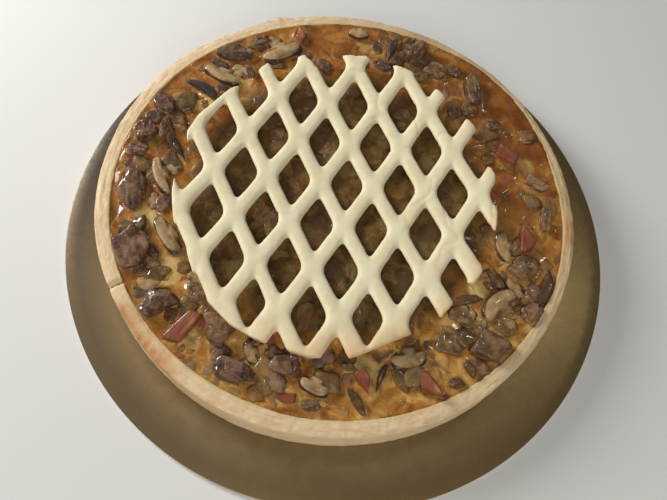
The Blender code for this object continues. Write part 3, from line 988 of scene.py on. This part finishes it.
def build_custard(pieces):
    """The custard as a solid: a disc of heights, a wall round it and a flat underside."""
    unit_x, unit_y = disc_grid(CUSTARD_GRID)
    angle = np.arctan2(unit_y, unit_x)
    reach = np.hypot(unit_x, unit_y) * (CASE.inner(angle) + 0.4 * MM)
    x, y = reach * np.cos(angle), reach * np.sin(angle)
    height, near, deep, crease = custard_height(x, y, pieces)
    top = spread(x + CASE.centre[0], y + CASE.centre[1], height).reshape(-1, 3)
    index = np.arange(CUSTARD_GRID**2).reshape(CUSTARD_GRID, CUSTARD_GRID)
    ring = np.concatenate([index[0, :-1], index[:-1, -1], index[-1, :0:-1], index[:0:-1, 0]])
    low = top[ring].copy()
    low[:, 2] = CASE.foot + CUSTARD_FOOT
    count = len(top)
    low_ring = count + np.arange(len(ring))
    after, low_after = np.roll(ring, -1), np.roll(low_ring, -1)
    wall = np.stack([low_ring, low_after, after, ring], -1)
    pole = np.array([[*CASE.centre, CASE.foot + CUSTARD_FOOT]])
    points = np.concatenate([top, low, pole])
    quads = np.concatenate([grid_quads(CUSTARD_GRID, CUSTARD_GRID, False), wall])
    triangles = fan(len(points) - 1, low_ring, False)
    brown = patch_mask(x, y, BROWN_PATCHES)
    hollow = ease(noise(spread(x, y), 13 * MM, 61, 2), 0.05, 0.6)
    dome = ease(height - CASE.level(x, y), 0.2 * MM, 1.0 * MM)
    brown = np.clip(brown * (0.55 + 0.45 * hollow) + 0.3 * hollow + 0.4 * dome, 0, 1)
    edge = peak(near - 1.0 * MM, 1.8 * MM)
    cream = np.maximum(patch_mask(x, y, CREAM_PATCHES), 0.20 * np.maximum(crease, edge))
    smooth = patch_mask(x, y, SMOOTH_PATCHES)
    crowd = ease(noise(spread(x, y), 16 * MM, 62, 2), -0.45, 0.15) * (1 - smooth)
    masks = {
        "brown": np.clip(brown * (1 - cream), 0, 1),
        "cream": cream,
        # under the lattice: partly painted shade
        "deep": deep,
        "crowd": crowd * (1 - cream),
        # painted light on the near side, none under the lattice
        "golden": ease(facing(angle, CUSTARD_LIT_SIDE)) * (1 - deep),
    }
    tail = np.zeros(len(ring) + 1)
    masks = {key: np.concatenate([value.ravel(), tail]) for key, value in masks.items()}
    obj = mesh_object("custard_filling", points, quads, triangles, masks)
    finish_piece(obj, custard_finish(), "custard", "filling")


# ---- lattice


LATTICE_TURNS = (-55.5, 66.5)
LATTICE_CENTRE = np.array([2.8 * MM, 6.0 * MM])
DISH_RADIUS = 81.6 * MM
# Holes that came out smaller: column and row, then a scale and a shift up the sheet
SMALL_HOLES = {(3, 1): (0.78, 0.0), (0, -3): (0.80, 4.0 * MM), (2, -1): (0.88, 1.0 * MM)}
CELL_SIDE = 12
CELL_ROWS = 13
CELLS_OUT = 5
SHEET_REACH = 128 * MM
WELD = 0.05 * MM
PRISM_FOOT, PRISM_TALL = 15 * MM, 35 * MM
REMESH, SMOOTHINGS = 0.8 * MM, 7
TOASTED_SIDE = -45


def lattice_crest(flat):
    """Height of the strips' crests: a shallow dish that grows with the square of reach."""
    size = sizes()
    out = np.minimum((np.hypot(*np.moveaxis(flat, -1, 0)) / DISH_RADIUS) ** 2, 1.2)
    return CASE.card_top + size.lattice_crest + size.lattice_dish * out


def cell_rings(centre, along, across, share_open, shift):
    """One cell of the lattice, from the crests round it down to its hole and under.

    A direction in the cell's own slanted axes meets the crests on a square, and the
    hole's edge on a superellipse, blunter at the sides than at the two slit ends.
    Between them the strip's section is a superellipse too.
    """
    share = np.linspace(-1, 1, CELL_SIDE + 1)[:-1]
    one = np.ones(CELL_SIDE)
    a = np.concatenate([share, one, -share, -one])
    b = np.concatenate([-one, share, one, -share])
    slant = np.sign(a * b) * np.minimum(np.abs(a), np.abs(b))
    power = 6.5 - 1.9 * slant
    shrink = (np.abs(a) ** power + np.abs(b) ** power) ** (-1 / power)
    shrink = shrink * np.maximum(np.abs(a), np.abs(b)) * share_open
    crest = centre + a[:, None] * along + b[:, None] * across
    hole = centre + (a * shrink)[:, None] * along + (b * shrink)[:, None] * across + (0, shift)
    turn = np.linspace(0, math.pi, CELL_ROWS)
    out = np.sin(turn) ** 0.72
    rise = np.sign(np.cos(turn)) * np.abs(np.cos(turn)) ** 0.8
    flat = crest + out[:, None, None] * (hole - crest)
    depth = (1 - rise)[:, None] * sizes().lattice_thick / 2
    return spread(flat[..., 0], flat[..., 1], lattice_crest(flat) - depth)


def lattice_net():
    """All the cells that the trimmed sheet touches, joined and closed at the rim."""
    pitch = sizes().lattice_pitch
    steps = []
    for turn in np.radians(LATTICE_TURNS):
        steps.append(pitch * np.array([math.cos(turn), math.sin(turn)]))
    points, quads = [], []
    first = 0
    span = range(-CELLS_OUT, CELLS_OUT + 1)
    for column, row in itertools.product(span, span):
        centre = LATTICE_CENTRE + column * steps[0] + row * steps[1]
        if np.hypot(*centre) > SHEET_REACH:
            continue
        scale, shift = SMALL_HOLES.get((column, row), (1.0, 0.0))
        share_open = sizes().hole_share * scale
        grid = cell_rings(centre, steps[0] / 2, steps[1] / 2, share_open, shift)
        points.append(grid.reshape(-1, 3))
        quads.append(grid_quads(*grid.shape[:2], True)[:, ::-1] + first)
        first += len(points[-1])
    net = mesh_object("lattice_net", np.concatenate(points), np.concatenate(quads))
    shape = bmesh.new()
    shape.from_mesh(net.data)
    bmesh.ops.remove_doubles(shape, verts=shape.verts, dist=WELD)
    bmesh.ops.bridge_loops(shape, edges=[edge for edge in shape.edges if edge.is_boundary])
    bmesh.ops.recalc_face_normals(shape, faces=shape.faces)
    shape.to_mesh(net.data)
    shape.free()
    return net


def trimming_prism():
    """An upright prism with the outline that the lattice was trimmed to."""
    shape = bmesh.new()
    ring = [shape.verts.new((x * MM, y * MM, PRISM_FOOT)) for x, y in LATTICE_TRIM]
    raised = bmesh.ops.extrude_face_region(shape, geom=[shape.faces.new(ring)])
    top = [item for item in raised["geom"] if isinstance(item, bmesh.types.BMVert)]
    bmesh.ops.translate(shape, verts=top, vec=(0, 0, PRISM_TALL))
    bmesh.ops.recalc_face_normals(shape, faces=shape.faces)
    mesh = bpy.data.meshes.new("trim")
    shape.to_mesh(mesh)
    shape.free()
    return linked("trim", mesh)


def largest_island(edges, count):
    """Which points belong to the largest connected piece.

    Every point starts with a number of its own; both ends of each edge take the lower
    of their two numbers, over and over until nothing changes.
    """
    label = np.arange(count)
    while True:
        low = np.minimum(label[edges[:, 0]], label[edges[:, 1]])
        lower = label.copy()
        np.minimum.at(lower, edges[:, 0], low)
        np.minimum.at(lower, edges[:, 1], low)
        lower = lower[lower]
        if (lower == label).all():
            return label == np.bincount(label).argmax()
        label = lower


def remeshed_net():
    """The net trimmed, made one skin by a voxel remesh and smoothed.

    Gives its points, their normals and its quads, with loose crumbs left out.
    """
    net, prism = lattice_net(), trimming_prism()
    trim = net.modifiers.new("trim", "BOOLEAN")
    trim.operation = "INTERSECT"
    trim.solver = "EXACT"
    trim.object = prism
    remesh = net.modifiers.new("remesh", "REMESH")
    remesh.mode = "VOXEL"
    remesh.voxel_size = REMESH
    smooth = net.modifiers.new("smooth", "SMOOTH")
    smooth.factor = 0.5
    smooth.iterations = SMOOTHINGS
    depsgraph = bpy.context.evaluated_depsgraph_get()
    mesh = bpy.data.meshes.new_from_object(net.evaluated_get(depsgraph))
    bpy.data.objects.remove(prism)
    bpy.data.objects.remove(net)
    points = read(mesh.vertices, "co", 3)
    normals = read(mesh.vertex_normals, "vector", 3)
    edges = read(mesh.edges, "vertices", 2, int)
    quads = read(mesh.loops, "vertex_index", 1, int).reshape(-1, 4)
    kept = largest_island(edges, len(points))
    renumbered = np.cumsum(kept) - 1
    return points[kept], normals[kept], renumbered[quads[kept[quads[:, 0]]]]


def lattice_finish():
    """Pale dough, darker and yellower below and in its folds with painted shade, toasted at one
    side.
    """
    finish = Finish("pale_lattice_pastry", Specular_IOR_Level=0.3)
    cloud = finish.noise(11 * MM, 3.0, 0.55)
    speck = finish.noise(1.2 * MM, 3.0, 0.6)
    base = finish.layers(
        finish.mix(cloud.step(0.35, 0.7) * 0.7, "lattice", "strip_cloud"),
        (speck.step(0.6, 0.78) * 0.25, "strip_speck"),
        # painted shade below the strips and in their folds
        (finish.mask("underside") * 0.55, "strip_under"),
        (finish.mask("fold") * 0.35, "strip_fold"),
        ((finish.mask("toast") * (0.5 + cloud)).clamp(), "lattice_toast"),
    )
    relief = finish.relief(
        (speck, 0.10 * MM, 0.45), (finish.noise(0.4 * MM, 2.0), 0.05 * MM, 0.5)
    )
    return finish.connect(Base_Color=base, Roughness=0.58 + 0.15 * cloud, Normal=relief)


def build_lattice():
    """The lattice: its remeshed net, pushed out and in by noise like rolled dough."""
    points, normals, quads = remeshed_net()
    swells = 0.35 * MM * noise(points, 14 * MM, 71, 2) + 0.12 * MM * noise(points, 3 * MM, 72, 2)
    fold = peak(noise(points, 24 * MM, 75, 2), 0.035)
    fold = fold * ease(noise(points, 30 * MM, 76), 0.0, 0.3)
    swells -= 0.30 * MM * fold
    reach = np.hypot(points[:, 0], points[:, 1])
    depth = (lattice_crest(points[:, :2]) - points[:, 2]) / sizes().lattice_thick
    bearing = np.arctan2(points[:, 1], points[:, 0])
    near_side = 0.5 + 0.5 * facing(bearing, TOASTED_SIDE)
    toast = ease(reach, 76 * MM, 100 * MM) * (0.12 + 0.95 * near_side**4)
    toast = toast * (0.7 + 0.5 * noise(points, 9 * MM, 73, 2))
    masks = {
        "toast": np.clip(toast, 0, 1),
        # painted shade below the strips and in their folds
        "underside": ease(depth, 0.35, 0.9),
        "fold": fold,
    }
    points = points + normals * swells[:, None]
    points[:, 2] += 0.5 * MM * noise(spread(points[:, 0], points[:, 1]), 40 * MM, 74)
    points[:, :2] += CASE.centre
    obj = mesh_object("pastry_lattice", points, quads, masks=masks)
    finish_piece(obj, lattice_finish(), "lattice", "lattice")


# ---- toppings


SUNK = 2.6 * MM
RAISED = 0.9 * MM
PIECE_GRID = (44, 88)
BIT_GRID = (14, 28)


def faceted(grid, seed, sides, tops, power):
    """A lump with flat faces and rounded edges, scaled to reach 1 along each axis.

    In the direction u it reaches (the sum over its faces of max(0, u.n / d) to the
    power)^(-1/power), where n is a face's normal and d its distance.
    """
    rng = np.random.default_rng(seed)
    unit = globe(*grid)[1]
    turn = (np.arange(sides) + rng.uniform(-0.33, 0.33, sides) + rng.uniform()) * math.tau / sides
    lean = rng.uniform(-0.1, 0.22, sides)
    walls = directions(turn, lean)
    turn, lean = rng.uniform(0, math.tau, tops), rng.uniform(1.18, 1.52, tops)
    roofs = directions(turn, lean)
    normals = np.concatenate([walls, roofs, [[0.0, 0.0, -1.0]]])
    away = np.concatenate([rng.uniform(0.75, 1.0, sides), rng.uniform(0.7, 0.85, tops), [0.8]])
    total = (np.maximum(unit @ (normals / away[:, None]).T, 0) ** power).sum(-1, keepdims=True)
    shape = unit * total ** (-1 / power)
    low, high = shape.min((0, 1)), shape.max((0, 1))
    middle = (low + high) / 2 * (1, 1, 0)
    return (shape - middle) / np.where((True, True, False), (high - low) / 2, high)


def settled(unit, length, width, height):
    """Scale a unit shape to its size, with its lower half squashed into the custard."""
    low = np.minimum(unit[..., 2], 0) * SUNK
    high = np.maximum(unit[..., 2], 0) * (height - RAISED)
    return spread(unit[..., 0] * length / 2, unit[..., 1] * width / 2, RAISED + low + high)


def pushed(unit, amount):
    """Move each point of a shape out from its middle by a share of its reach."""
    return unit * (1 + amount)[..., None]


def cap_piece(size, seed, grid=PIECE_GRID):
    """A thick piece of cooked mushroom cap: few faces, ribbed sides and one long fold."""
    unit = faceted(grid, seed, sides=5, tops=2, power=14)
    turn = seed * 0.7
    fold = unit[..., 0] * math.cos(turn) + unit[..., 1] * math.sin(turn)
    fold = peak(fold - 0.25 * math.sin(seed) + 0.2 * noise(unit, 0.7, seed), 0.13)
    ribs = noise(unit * (1.0, 5.0, 1.0), 0.7, seed + 4, 2)
    lumps = noise(unit, 0.6, seed + 6, 3)
    unit = pushed(unit, 0.15 * lumps + 0.02 * ribs - 0.05 * fold * (unit[..., 2] > 0))
    low = ease(-unit[..., 2], -0.55, 0.1)
    # pale: painted light on the raised lumps; dark: painted shade in the fold, on the low part and
    # between lumps
    masks = {
        "pale": ease(lumps, 0.05, 0.5) * 0.8,
        "dark": np.clip(0.3 * fold + 0.6 * low + 0.4 * ease(-lumps, 0.1, 0.5), 0, 1),
        "blue": ease(noise(unit, 0.8, seed + 8), 0.15, 0.5) * float(seed % 3 == 0),
    }
    return settled(unit, *size), masks


def chunk_piece(size, seed, grid=PIECE_GRID):
    """A lump of mushroom: rounded faces, pushed in and out by noise, with deep gullies."""
    unit = faceted(grid, seed, sides=6, tops=3, power=9)
    lumps = noise(unit, 0.75, seed, 3)
    gully = ease(-np.abs(noise(unit, 0.85, seed + 3)), -0.13, 0.0) * (unit[..., 2] > -0.2)
    unit = pushed(unit, 0.23 * lumps - 0.10 * gully)
    low = ease(-unit[..., 2], -0.5, 0.1)
    # pale: painted light on the raised lumps; dark: painted shade in the gullies, on the low part
    # and between lumps
    masks = {
        "pale": ease(lumps, 0.05, 0.5) * (0.5 + 0.5 * (seed % 2)),
        "dark": np.clip(0.8 * gully + 0.5 * low + ease(-lumps, 0.1, 0.5) * 0.4, 0, 1),
        "blue": ease(noise(unit, 0.7, seed + 8), 0.2, 0.6) * float(seed % 3 == 1),
    }
    return settled(unit, *size), masks


def slice_piece(size, seed, grid=PIECE_GRID):
    """A slice through a mushroom, lying flat.

    Seen from above, one long side is the cap's round skin, and the other is cut in
    twice, beside the stem.  The skin is a dark line, and gills darken the cuts.
    """
    longitude, unit = globe(*grid)
    rim = ease(np.hypot(unit[..., 0], unit[..., 1]), 0.35, 0.9)
    unit = unit * (np.abs(unit) ** 3.4).sum(-1, keepdims=True) ** (-1 / 3.4)
    cuts = swell(longitude, -48, 17) + swell(longitude, -132, 17)
    across = np.hypot(unit[..., 0], unit[..., 1])
    unit[..., :2] *= (1 - 0.34 * cuts * rim)[..., None]
    wobble = noise(unit * (1, 1, 0.3), 0.9, seed, 2)
    unit = pushed(unit, 0.10 * wobble)
    unit[..., 2] *= 1 - 0.25 * swell(longitude, -90, 60) * rim + 0.2 * wobble
    skin = ease(across, 0.90, 1.0) * ease(np.sin(longitude), -0.1, 0.25)
    gills = ease(cuts, 0.15, 0.7) * ease(across, 0.25, 0.6)
    masks = {
        "pale": np.clip(0.5 + wobble - 0.5 * gills, 0, 1) * (1 - skin),
        "dark": np.clip(skin * 1.2 + 0.55 * gills, 0, 1),
        "blue": skin * float(seed % 3 == 1),
    }
    return settled(unit, *size), masks


def skin_piece(size, seed, bow=0.0, grid=PIECE_GRID):
    """A curled strip of wet skin: a long rounded bar, bowed sideways, ends curled down."""
    unit = faceted(grid, seed, sides=4, tops=2, power=6)
    unit = pushed(unit, 0.12 * noise(unit * (2.0, 1, 1), 0.8, seed, 2))
    local = settled(unit, *size)
    taper = 1 - 0.45 * np.abs(unit[..., 0]) ** 3
    local[..., 1] = local[..., 1] * taper + bow * (0.5 - unit[..., 0] ** 2)
    local[..., 2] *= 1 - 0.30 * unit[..., 0] ** 2
    masks = {
        "pale": ease(noise(unit, 0.8, seed + 4, 2), 0.1, 0.6) * 0.3,
        "dark": np.full(grid, 0.7),
        "blue": np.full(grid, 0.25 + 0.6 * (seed % 2)),
    }
    return local, masks


def ham_piece(size, seed, grid=PIECE_GRID):
    """A cut cube of ham: a rounded box with slumped sides and a fibrous top."""
    unit = faceted(grid, seed, sides=4, tops=1, power=10)
    fibre = noise(unit * (0.5, 2.6, 1.0), 0.6, seed, 3)
    slump = noise(unit, 1.3, seed + 2)
    unit = pushed(unit, 0.04 * fibre + 0.07 * slump)
    edge = ease(np.abs(unit).max(-1), 0.85, 1.0) * ease(slump, 0.0, 0.5)
    masks = {"fat": np.clip(edge + ease(fibre, 0.3, 0.7) * 0.5, 0, 1)}
    return settled(unit, *size), masks


def with_places(local, masks, x, y, seed):
    """Add masks that every piece has.

    They are its place along and across the piece, how much custard covers it, which
    falls off with height, and a lightness that grows towards the near right.
    """
    masks = {**masks, "along": local[..., 0], "across": local[..., 1]}
    masks["film"] = 1 - ease(local[..., 2], 0.7 * MM, 2.4 * MM)
    tone = 0.15 + 0.40 * math.cos(math.atan2(y, x) + math.radians(35)) + 0.22 * (seed % 5 - 2)
    masks["tone"] = np.full(local.shape[:2], min(max(tone, 0.0), 1.0))
    if "blue" in masks:
        masks["blue"] = masks["blue"] * float(ease(y - x, -10 * MM, 60 * MM))
    return local, masks


def mushroom_finish(name, first, second, third):
    """Cooked mushroom: ribbed, wet skin of two shades; a lighter third, such as cut flesh, in
    patches, along ribs and as painted light on raised lumps; near-black skin and gills, and
    painted shade in hollows.
    """
    finish = Finish(name, Coat_Roughness=0.10, Specular_IOR_Level=0.06)
    pale = finish.mask("pale")
    cloud = finish.noise(5 * MM, 4.0, 0.6, warp=0.3)
    fine = finish.noise(0.9 * MM, 3.0, 0.6)
    ribs = finish.noise(1.3 * MM, 2.0, 0.5, finish.stretched(0.16, 1, 0.5, finish.on_piece()))
    base = finish.layers(
        finish.mix(cloud.step(0.42, 0.56), first, second),
        # lighter where the pale mask lies: painted light on raised lumps of caps and chunks,
        # lighter flesh on slices
        ((pale * (0.4 + cloud)).clamp(), third),
        (finish.noise(2.6 * MM, 3.0, 0.6).step(0.56, 0.66) * 0.5, third),
        (ribs.step(0.48, 0.72) * 0.22, third),
        (fine.step(0.55, 0.76) * 0.3, "skin_grain"),
        (finish.mask("tone") * (0.2 + 0.7 * cloud), "mushroom_flesh"),
        # near-black where the dark mask lies: real skin and gills, and painted shade in hollows
        ((finish.mask("dark") * (0.6 + 0.5 * fine)).clamp(), "skin_hollow"),
        (finish.mask("blue") * cloud.step(0.38, 0.6) * 0.8, "mushroom_blue"),
    )
    return finish.connect(
        Base_Color=finish.filmed(base, fine),
        Roughness=0.42 + 0.22 * fine + 0.12 * pale,
        Coat_Weight=0.85 * cloud.step(0.50, 0.62) + 0.15,
        Normal=finish.relief(
            (fine, 0.26 * MM, 0.6), (ribs, 0.25 * MM, 0.6), (cloud, 1.6 * MM, 0.6)
        ),
    )


def ham_finish():
    """Fibrous red meat with a paler, fatty edge."""
    finish = Finish("cooked_ham", Coat_Roughness=0.12, Specular_IOR_Level=0.2)
    fibre = finish.noise(1.5 * MM, 4.0, 0.6, finish.stretched(0.3, 1, 1, finish.on_piece()))
    cloud = finish.noise(5 * MM, 3.0)
    base = finish.layers(
        finish.mix(fibre.step(0.4, 0.65), "ham", "ham_dark"),
        (finish.mask("fat") * (0.4 + 0.6 * cloud), "ham_fat"),
        (fibre.step(0.62, 0.8) * 0.35, "ham_fibre"),
    )
    return finish.connect(
        Base_Color=finish.filmed(base, fibre, 0.28),
        Roughness=0.34 + 0.25 * fibre,
        Coat_Weight=0.15 + 0.5 * cloud.step(0.45, 0.65),
        Normal=finish.relief((fibre, 0.35 * MM, 0.6)),
    )


def build_toppings(kind, shape, material, slot):
    """One detailed piece for each topping node of a kind, where the node lies."""
    for bed in beds(kind):
        extra = {"bow": bed.bow} if shape is skin_piece else {}
        wider = sizes().piece_spread
        size = bed.length * wider, bed.width * wider, bed.height
        local, masks = shape(size, bed.seed, **extra)
        x, y = bed.middle - CASE.centre
        local, masks = with_places(local, masks, x, y, bed.seed)
        obj = globe_mesh(f"{bed.node}_piece", [(bed.laid(local), masks)])
        finish_piece(obj, material, slot, bed.node)


# ---- scattered bits


# Where bits are scattered: the nearest and farthest reach, flatness, how deep they sink
EDGE_RING = (94 * MM, 125 * MM, 0.24, 0.7 * MM)
MIDDLE_RING = (0.0, 90 * MM, 0.15, 1.9 * MM)
BIT_WIDTHS, BIT_HEIGHTS = (0.5, 0.95), (0.6, 1.1)
TRIES_EACH = 30


def scattered(shape, count, ring, length_range, seed, clear):
    """Many small pieces laid at random in a ring, joined into one part list.

    A place is dropped when it falls inside a piece that is already there, or where the
    custard is smooth.
    """
    nearest, farthest, flatness, sink = ring
    rng = np.random.default_rng(seed)
    parts = []
    tries = 0
    while len(parts) < count and tries < count * TRIES_EACH:
        tries += 1
        turn = rng.uniform(0, math.tau)
        reach = math.sqrt(rng.uniform(nearest**2, farthest**2))
        length = rng.uniform(*length_range)
        width = length * rng.uniform(*BIT_WIDTHS)
        height = length * flatness * rng.uniform(*BIT_HEIGHTS)
        spin = rng.uniform(0, math.tau)
        x, y = reach * math.cos(turn), reach * math.sin(turn)
        if float(CASE.inner(turn)) - reach < length * 0.5:
            continue
        if clear and patch_mask(np.array(x), np.array(y), SMOOTH_PATCHES) > 0.35:
            continue
        if clear and min(bed.reach(x + CASE.centre[0], y + CASE.centre[1]) for bed in clear) < 0:
            continue
        own = int(rng.integers(1, 9999))
        local, masks = shape((length, width, height), own, grid=BIT_GRID)
        local, masks = with_places(local, masks, x, y, own)
        c, s = math.cos(spin), math.sin(spin)
        px = x + local[..., 0] * c - local[..., 1] * s
        py = y + local[..., 0] * s + local[..., 1] * c
        lift = CASE.level(px, py) + local[..., 2] - sink
        parts.append((spread(px + CASE.centre[0], py + CASE.centre[1], lift), masks))
    return parts


def build_bits(pieces, skin, flesh, olive, ham):
    """The small chopped pieces between the large ones, and those under the lattice."""
    dark, pale = "mushroom_dark", "mushroom_pale"
    edge, middle = (EDGE_RING, pieces), (MIDDLE_RING, None)
    for name, shape, count, (ring, clear), lengths, seed, material, slot in (
        ("mushroom_bits", chunk_piece, 58, edge, (6, 14), 3, skin, dark),
        ("mushroom_shreds", slice_piece, 30, edge, (6, 13), 4, flesh, pale),
        ("soaked_shreds", cap_piece, 60, edge, (8, 17), 9, olive, pale),
        ("ham_shreds", ham_piece, 24, edge, (3.5, 8), 5, ham, "ham"),
        ("mushrooms_under_lattice", cap_piece, 60, middle, (9, 18), 6, skin, dark),
        # the slices under the lattice take the darker soaked finish, partly as painted shade of
        # the lattice
        ("slices_under_lattice", cap_piece, 55, middle, (10, 20), 8, olive, pale),
    ):
        lengths = [length * MM for length in lengths]
        parts = scattered(shape, count, ring, lengths, seed, clear)
        finish_piece(globe_mesh(name, parts), material, slot)


# ---- stage


CAMERA_ELEVATION = 64.77
CAMERA_ROLL = 10.56
CAMERA_DISTANCE = 371.3 * MM
CAMERA_AIM = (2.04 * MM, -24.1 * MM)
CAMERA_LENS = 33.73
CAMERA_SENSOR = 36.0
FLOOR_SIZE, FLOOR_DROP = 4.0, 0.05 * MM
WORLD_TINT, WORLD_STRENGTH = (0.94, 0.97, 1.0), 0.15
# Each light's name, place, width, watts and colour
LIGHTS = (
    ("key", (-0.85, 0.40, 0.46), 0.36, 13.2, (1.0, 0.975, 0.94)),
    ("fill", (0.15, -0.95, 0.80), 0.9, 9.0, (1.0, 0.95, 0.87)),
    ("sparkle", (0.42, 0.36, 0.90), 0.06, 0.45, (1.0, 0.97, 0.92)),
)


def build_floor():
    """A plain pale floor just under the card."""
    bpy.ops.mesh.primitive_plane_add(size=FLOOR_SIZE, location=(0, 0, -FLOOR_DROP))
    floor = bpy.context.object
    floor.name = "stage_floor"
    finish = Finish("pale_floor", Roughness=0.9, Base_Color=Finish.opaque("floor"))
    floor.data.materials.append(finish.material)


def add_area_light(name, place, size, power, tint):
    """A square soft light that faces the quiche."""
    light = bpy.data.lights.new(name, "AREA")
    light.size = size
    light.energy = power
    light.color = tint
    lamp = linked(name, light)
    lamp.location = place
    lamp.rotation_euler = (-Vector(place)).to_track_quat("-Z", "Y").to_euler()


def build_camera():
    """A camera in front and above, rolled a little, aimed near the quiche's middle."""
    lift, roll = math.radians(CAMERA_ELEVATION), math.radians(CAMERA_ROLL)
    forward = Vector((0, math.cos(lift), -math.sin(lift)))
    level = Vector((1, 0, 0))
    above = level.cross(forward)
    right = math.cos(roll) * level + math.sin(roll) * above
    up = math.cos(roll) * above - math.sin(roll) * level
    aim = Vector((CASE.centre[0] + CAMERA_AIM[0], CASE.centre[1] + CAMERA_AIM[1], CASE.card_top))
    turned = Matrix((right, up, -forward)).transposed().to_4x4()
    camera = bpy.data.cameras.new("view")
    camera.lens = CAMERA_LENS
    camera.sensor_width = CAMERA_SENSOR
    eye = linked("view", camera)
    eye.matrix_world = Matrix.Translation(aim - forward * CAMERA_DISTANCE) @ turned
    bpy.context.scene.camera = eye


def build_world():
    """Even, faintly cool light from all round."""
    world = bpy.data.worlds.new("studio")
    world.use_nodes = True
    background = world.node_tree.nodes["Background"]
    background.inputs["Color"].default_value = (*WORLD_TINT, 1.0)
    background.inputs["Strength"].default_value = WORLD_STRENGTH
    bpy.context.scene.world = world


# ---- operators


class QUICHE_OT_stage(bpy.types.Operator):
    """Add the floor, the lights and the camera"""

    bl_idname = "quiche.stage"
    bl_label = "Stage"

    def execute(self, context):
        build_floor()
        build_world()
        build_camera()
        for light in LIGHTS:
            add_area_light(*light)
        context.scene.view_settings.view_transform = "Standard"
        return {"FINISHED"}


class QUICHE_OT_card(bpy.types.Operator):
    """Build the gold card"""

    bl_idname = "quiche.card"
    bl_label = "Gold card"

    def execute(self, context):
        build_card()
        return {"FINISHED"}


class QUICHE_OT_case(bpy.types.Operator):
    """Build the pastry case"""

    bl_idname = "quiche.case"
    bl_label = "Pastry case"

    def execute(self, context):
        build_case()
        return {"FINISHED"}


class QUICHE_OT_custard(bpy.types.Operator):
    """Build the baked custard"""

    bl_idname = "quiche.custard"
    bl_label = "Custard"

    def execute(self, context):
        build_custard(beds("mushroom", "ham"))
        return {"FINISHED"}


class QUICHE_OT_lattice(bpy.types.Operator):
    """Build the pastry lattice"""

    bl_idname = "quiche.lattice"
    bl_label = "Pastry lattice"

    def execute(self, context):
        build_lattice()
        return {"FINISHED"}


class QUICHE_OT_toppings(bpy.types.Operator):
    """Build the mushroom and ham pieces, large and small"""

    bl_idname = "quiche.toppings"
    bl_label = "Mushrooms and ham"

    def execute(self, context):
        cut, soaked = "mushroom_flesh", "mushroom_olive"
        skin = mushroom_finish("mushroom_skin_finish", "mushroom", "skin_dark", "mushroom_light")
        flesh = mushroom_finish("mushroom_flesh_finish", cut, soaked, "flesh_pale")
        olive = mushroom_finish("soaked_mushroom_finish", soaked, "flesh_soaked", cut)
        ham = ham_finish()
        for kind, shape in (("cap", cap_piece), ("chunk", chunk_piece), ("skin", skin_piece)):
            build_toppings(f"mushroom_{kind}", shape, skin, "mushroom_dark")
        build_toppings("mushroom_slice", slice_piece, flesh, "mushroom_pale")
        build_toppings("ham", ham_piece, ham, "ham")
        build_bits(beds("mushroom", "ham"), skin, flesh, olive, ham)
        return {"FINISHED"}


class QUICHE_PT_panel(bpy.types.Panel):
    """The quiche's pieces and sizes"""

    bl_idname = "QUICHE_PT_panel"
    bl_label = "Lattice Quiche"
    bl_space_type = "VIEW_3D"
    bl_region_type = "UI"
    bl_category = "Quiche"

    def draw(self, context):
        for operator in OPERATORS:
            self.layout.operator(operator.bl_idname)
        for group in (context.scene.quiche_sizes, context.scene.quiche_colours):
            for name in group.__annotations__:
                self.layout.prop(group, name)


OPERATORS = (
    QUICHE_OT_stage,
    QUICHE_OT_card,
    QUICHE_OT_case,
    QUICHE_OT_custard,
    QUICHE_OT_lattice,
    QUICHE_OT_toppings,
)
CLASSES = (QuicheSizes, QuicheColours, *OPERATORS, QUICHE_PT_panel)


def register():
    for entry in CLASSES:
        bpy.utils.register_class(entry)
    bpy.types.Scene.quiche_sizes = bpy.props.PointerProperty(type=QuicheSizes)
    bpy.types.Scene.quiche_colours = bpy.props.PointerProperty(type=QuicheColours)


def unregister():
    del bpy.types.Scene.quiche_colours
    del bpy.types.Scene.quiche_sizes
    for entry in reversed(CLASSES):
        bpy.utils.unregister_class(entry)


def main():
    """Register the add-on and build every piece."""
    register()
    for operator in OPERATORS:
        getattr(bpy.ops.quiche, operator.bl_idname.split(".")[1])()


if __name__ == "__main__":
    main()
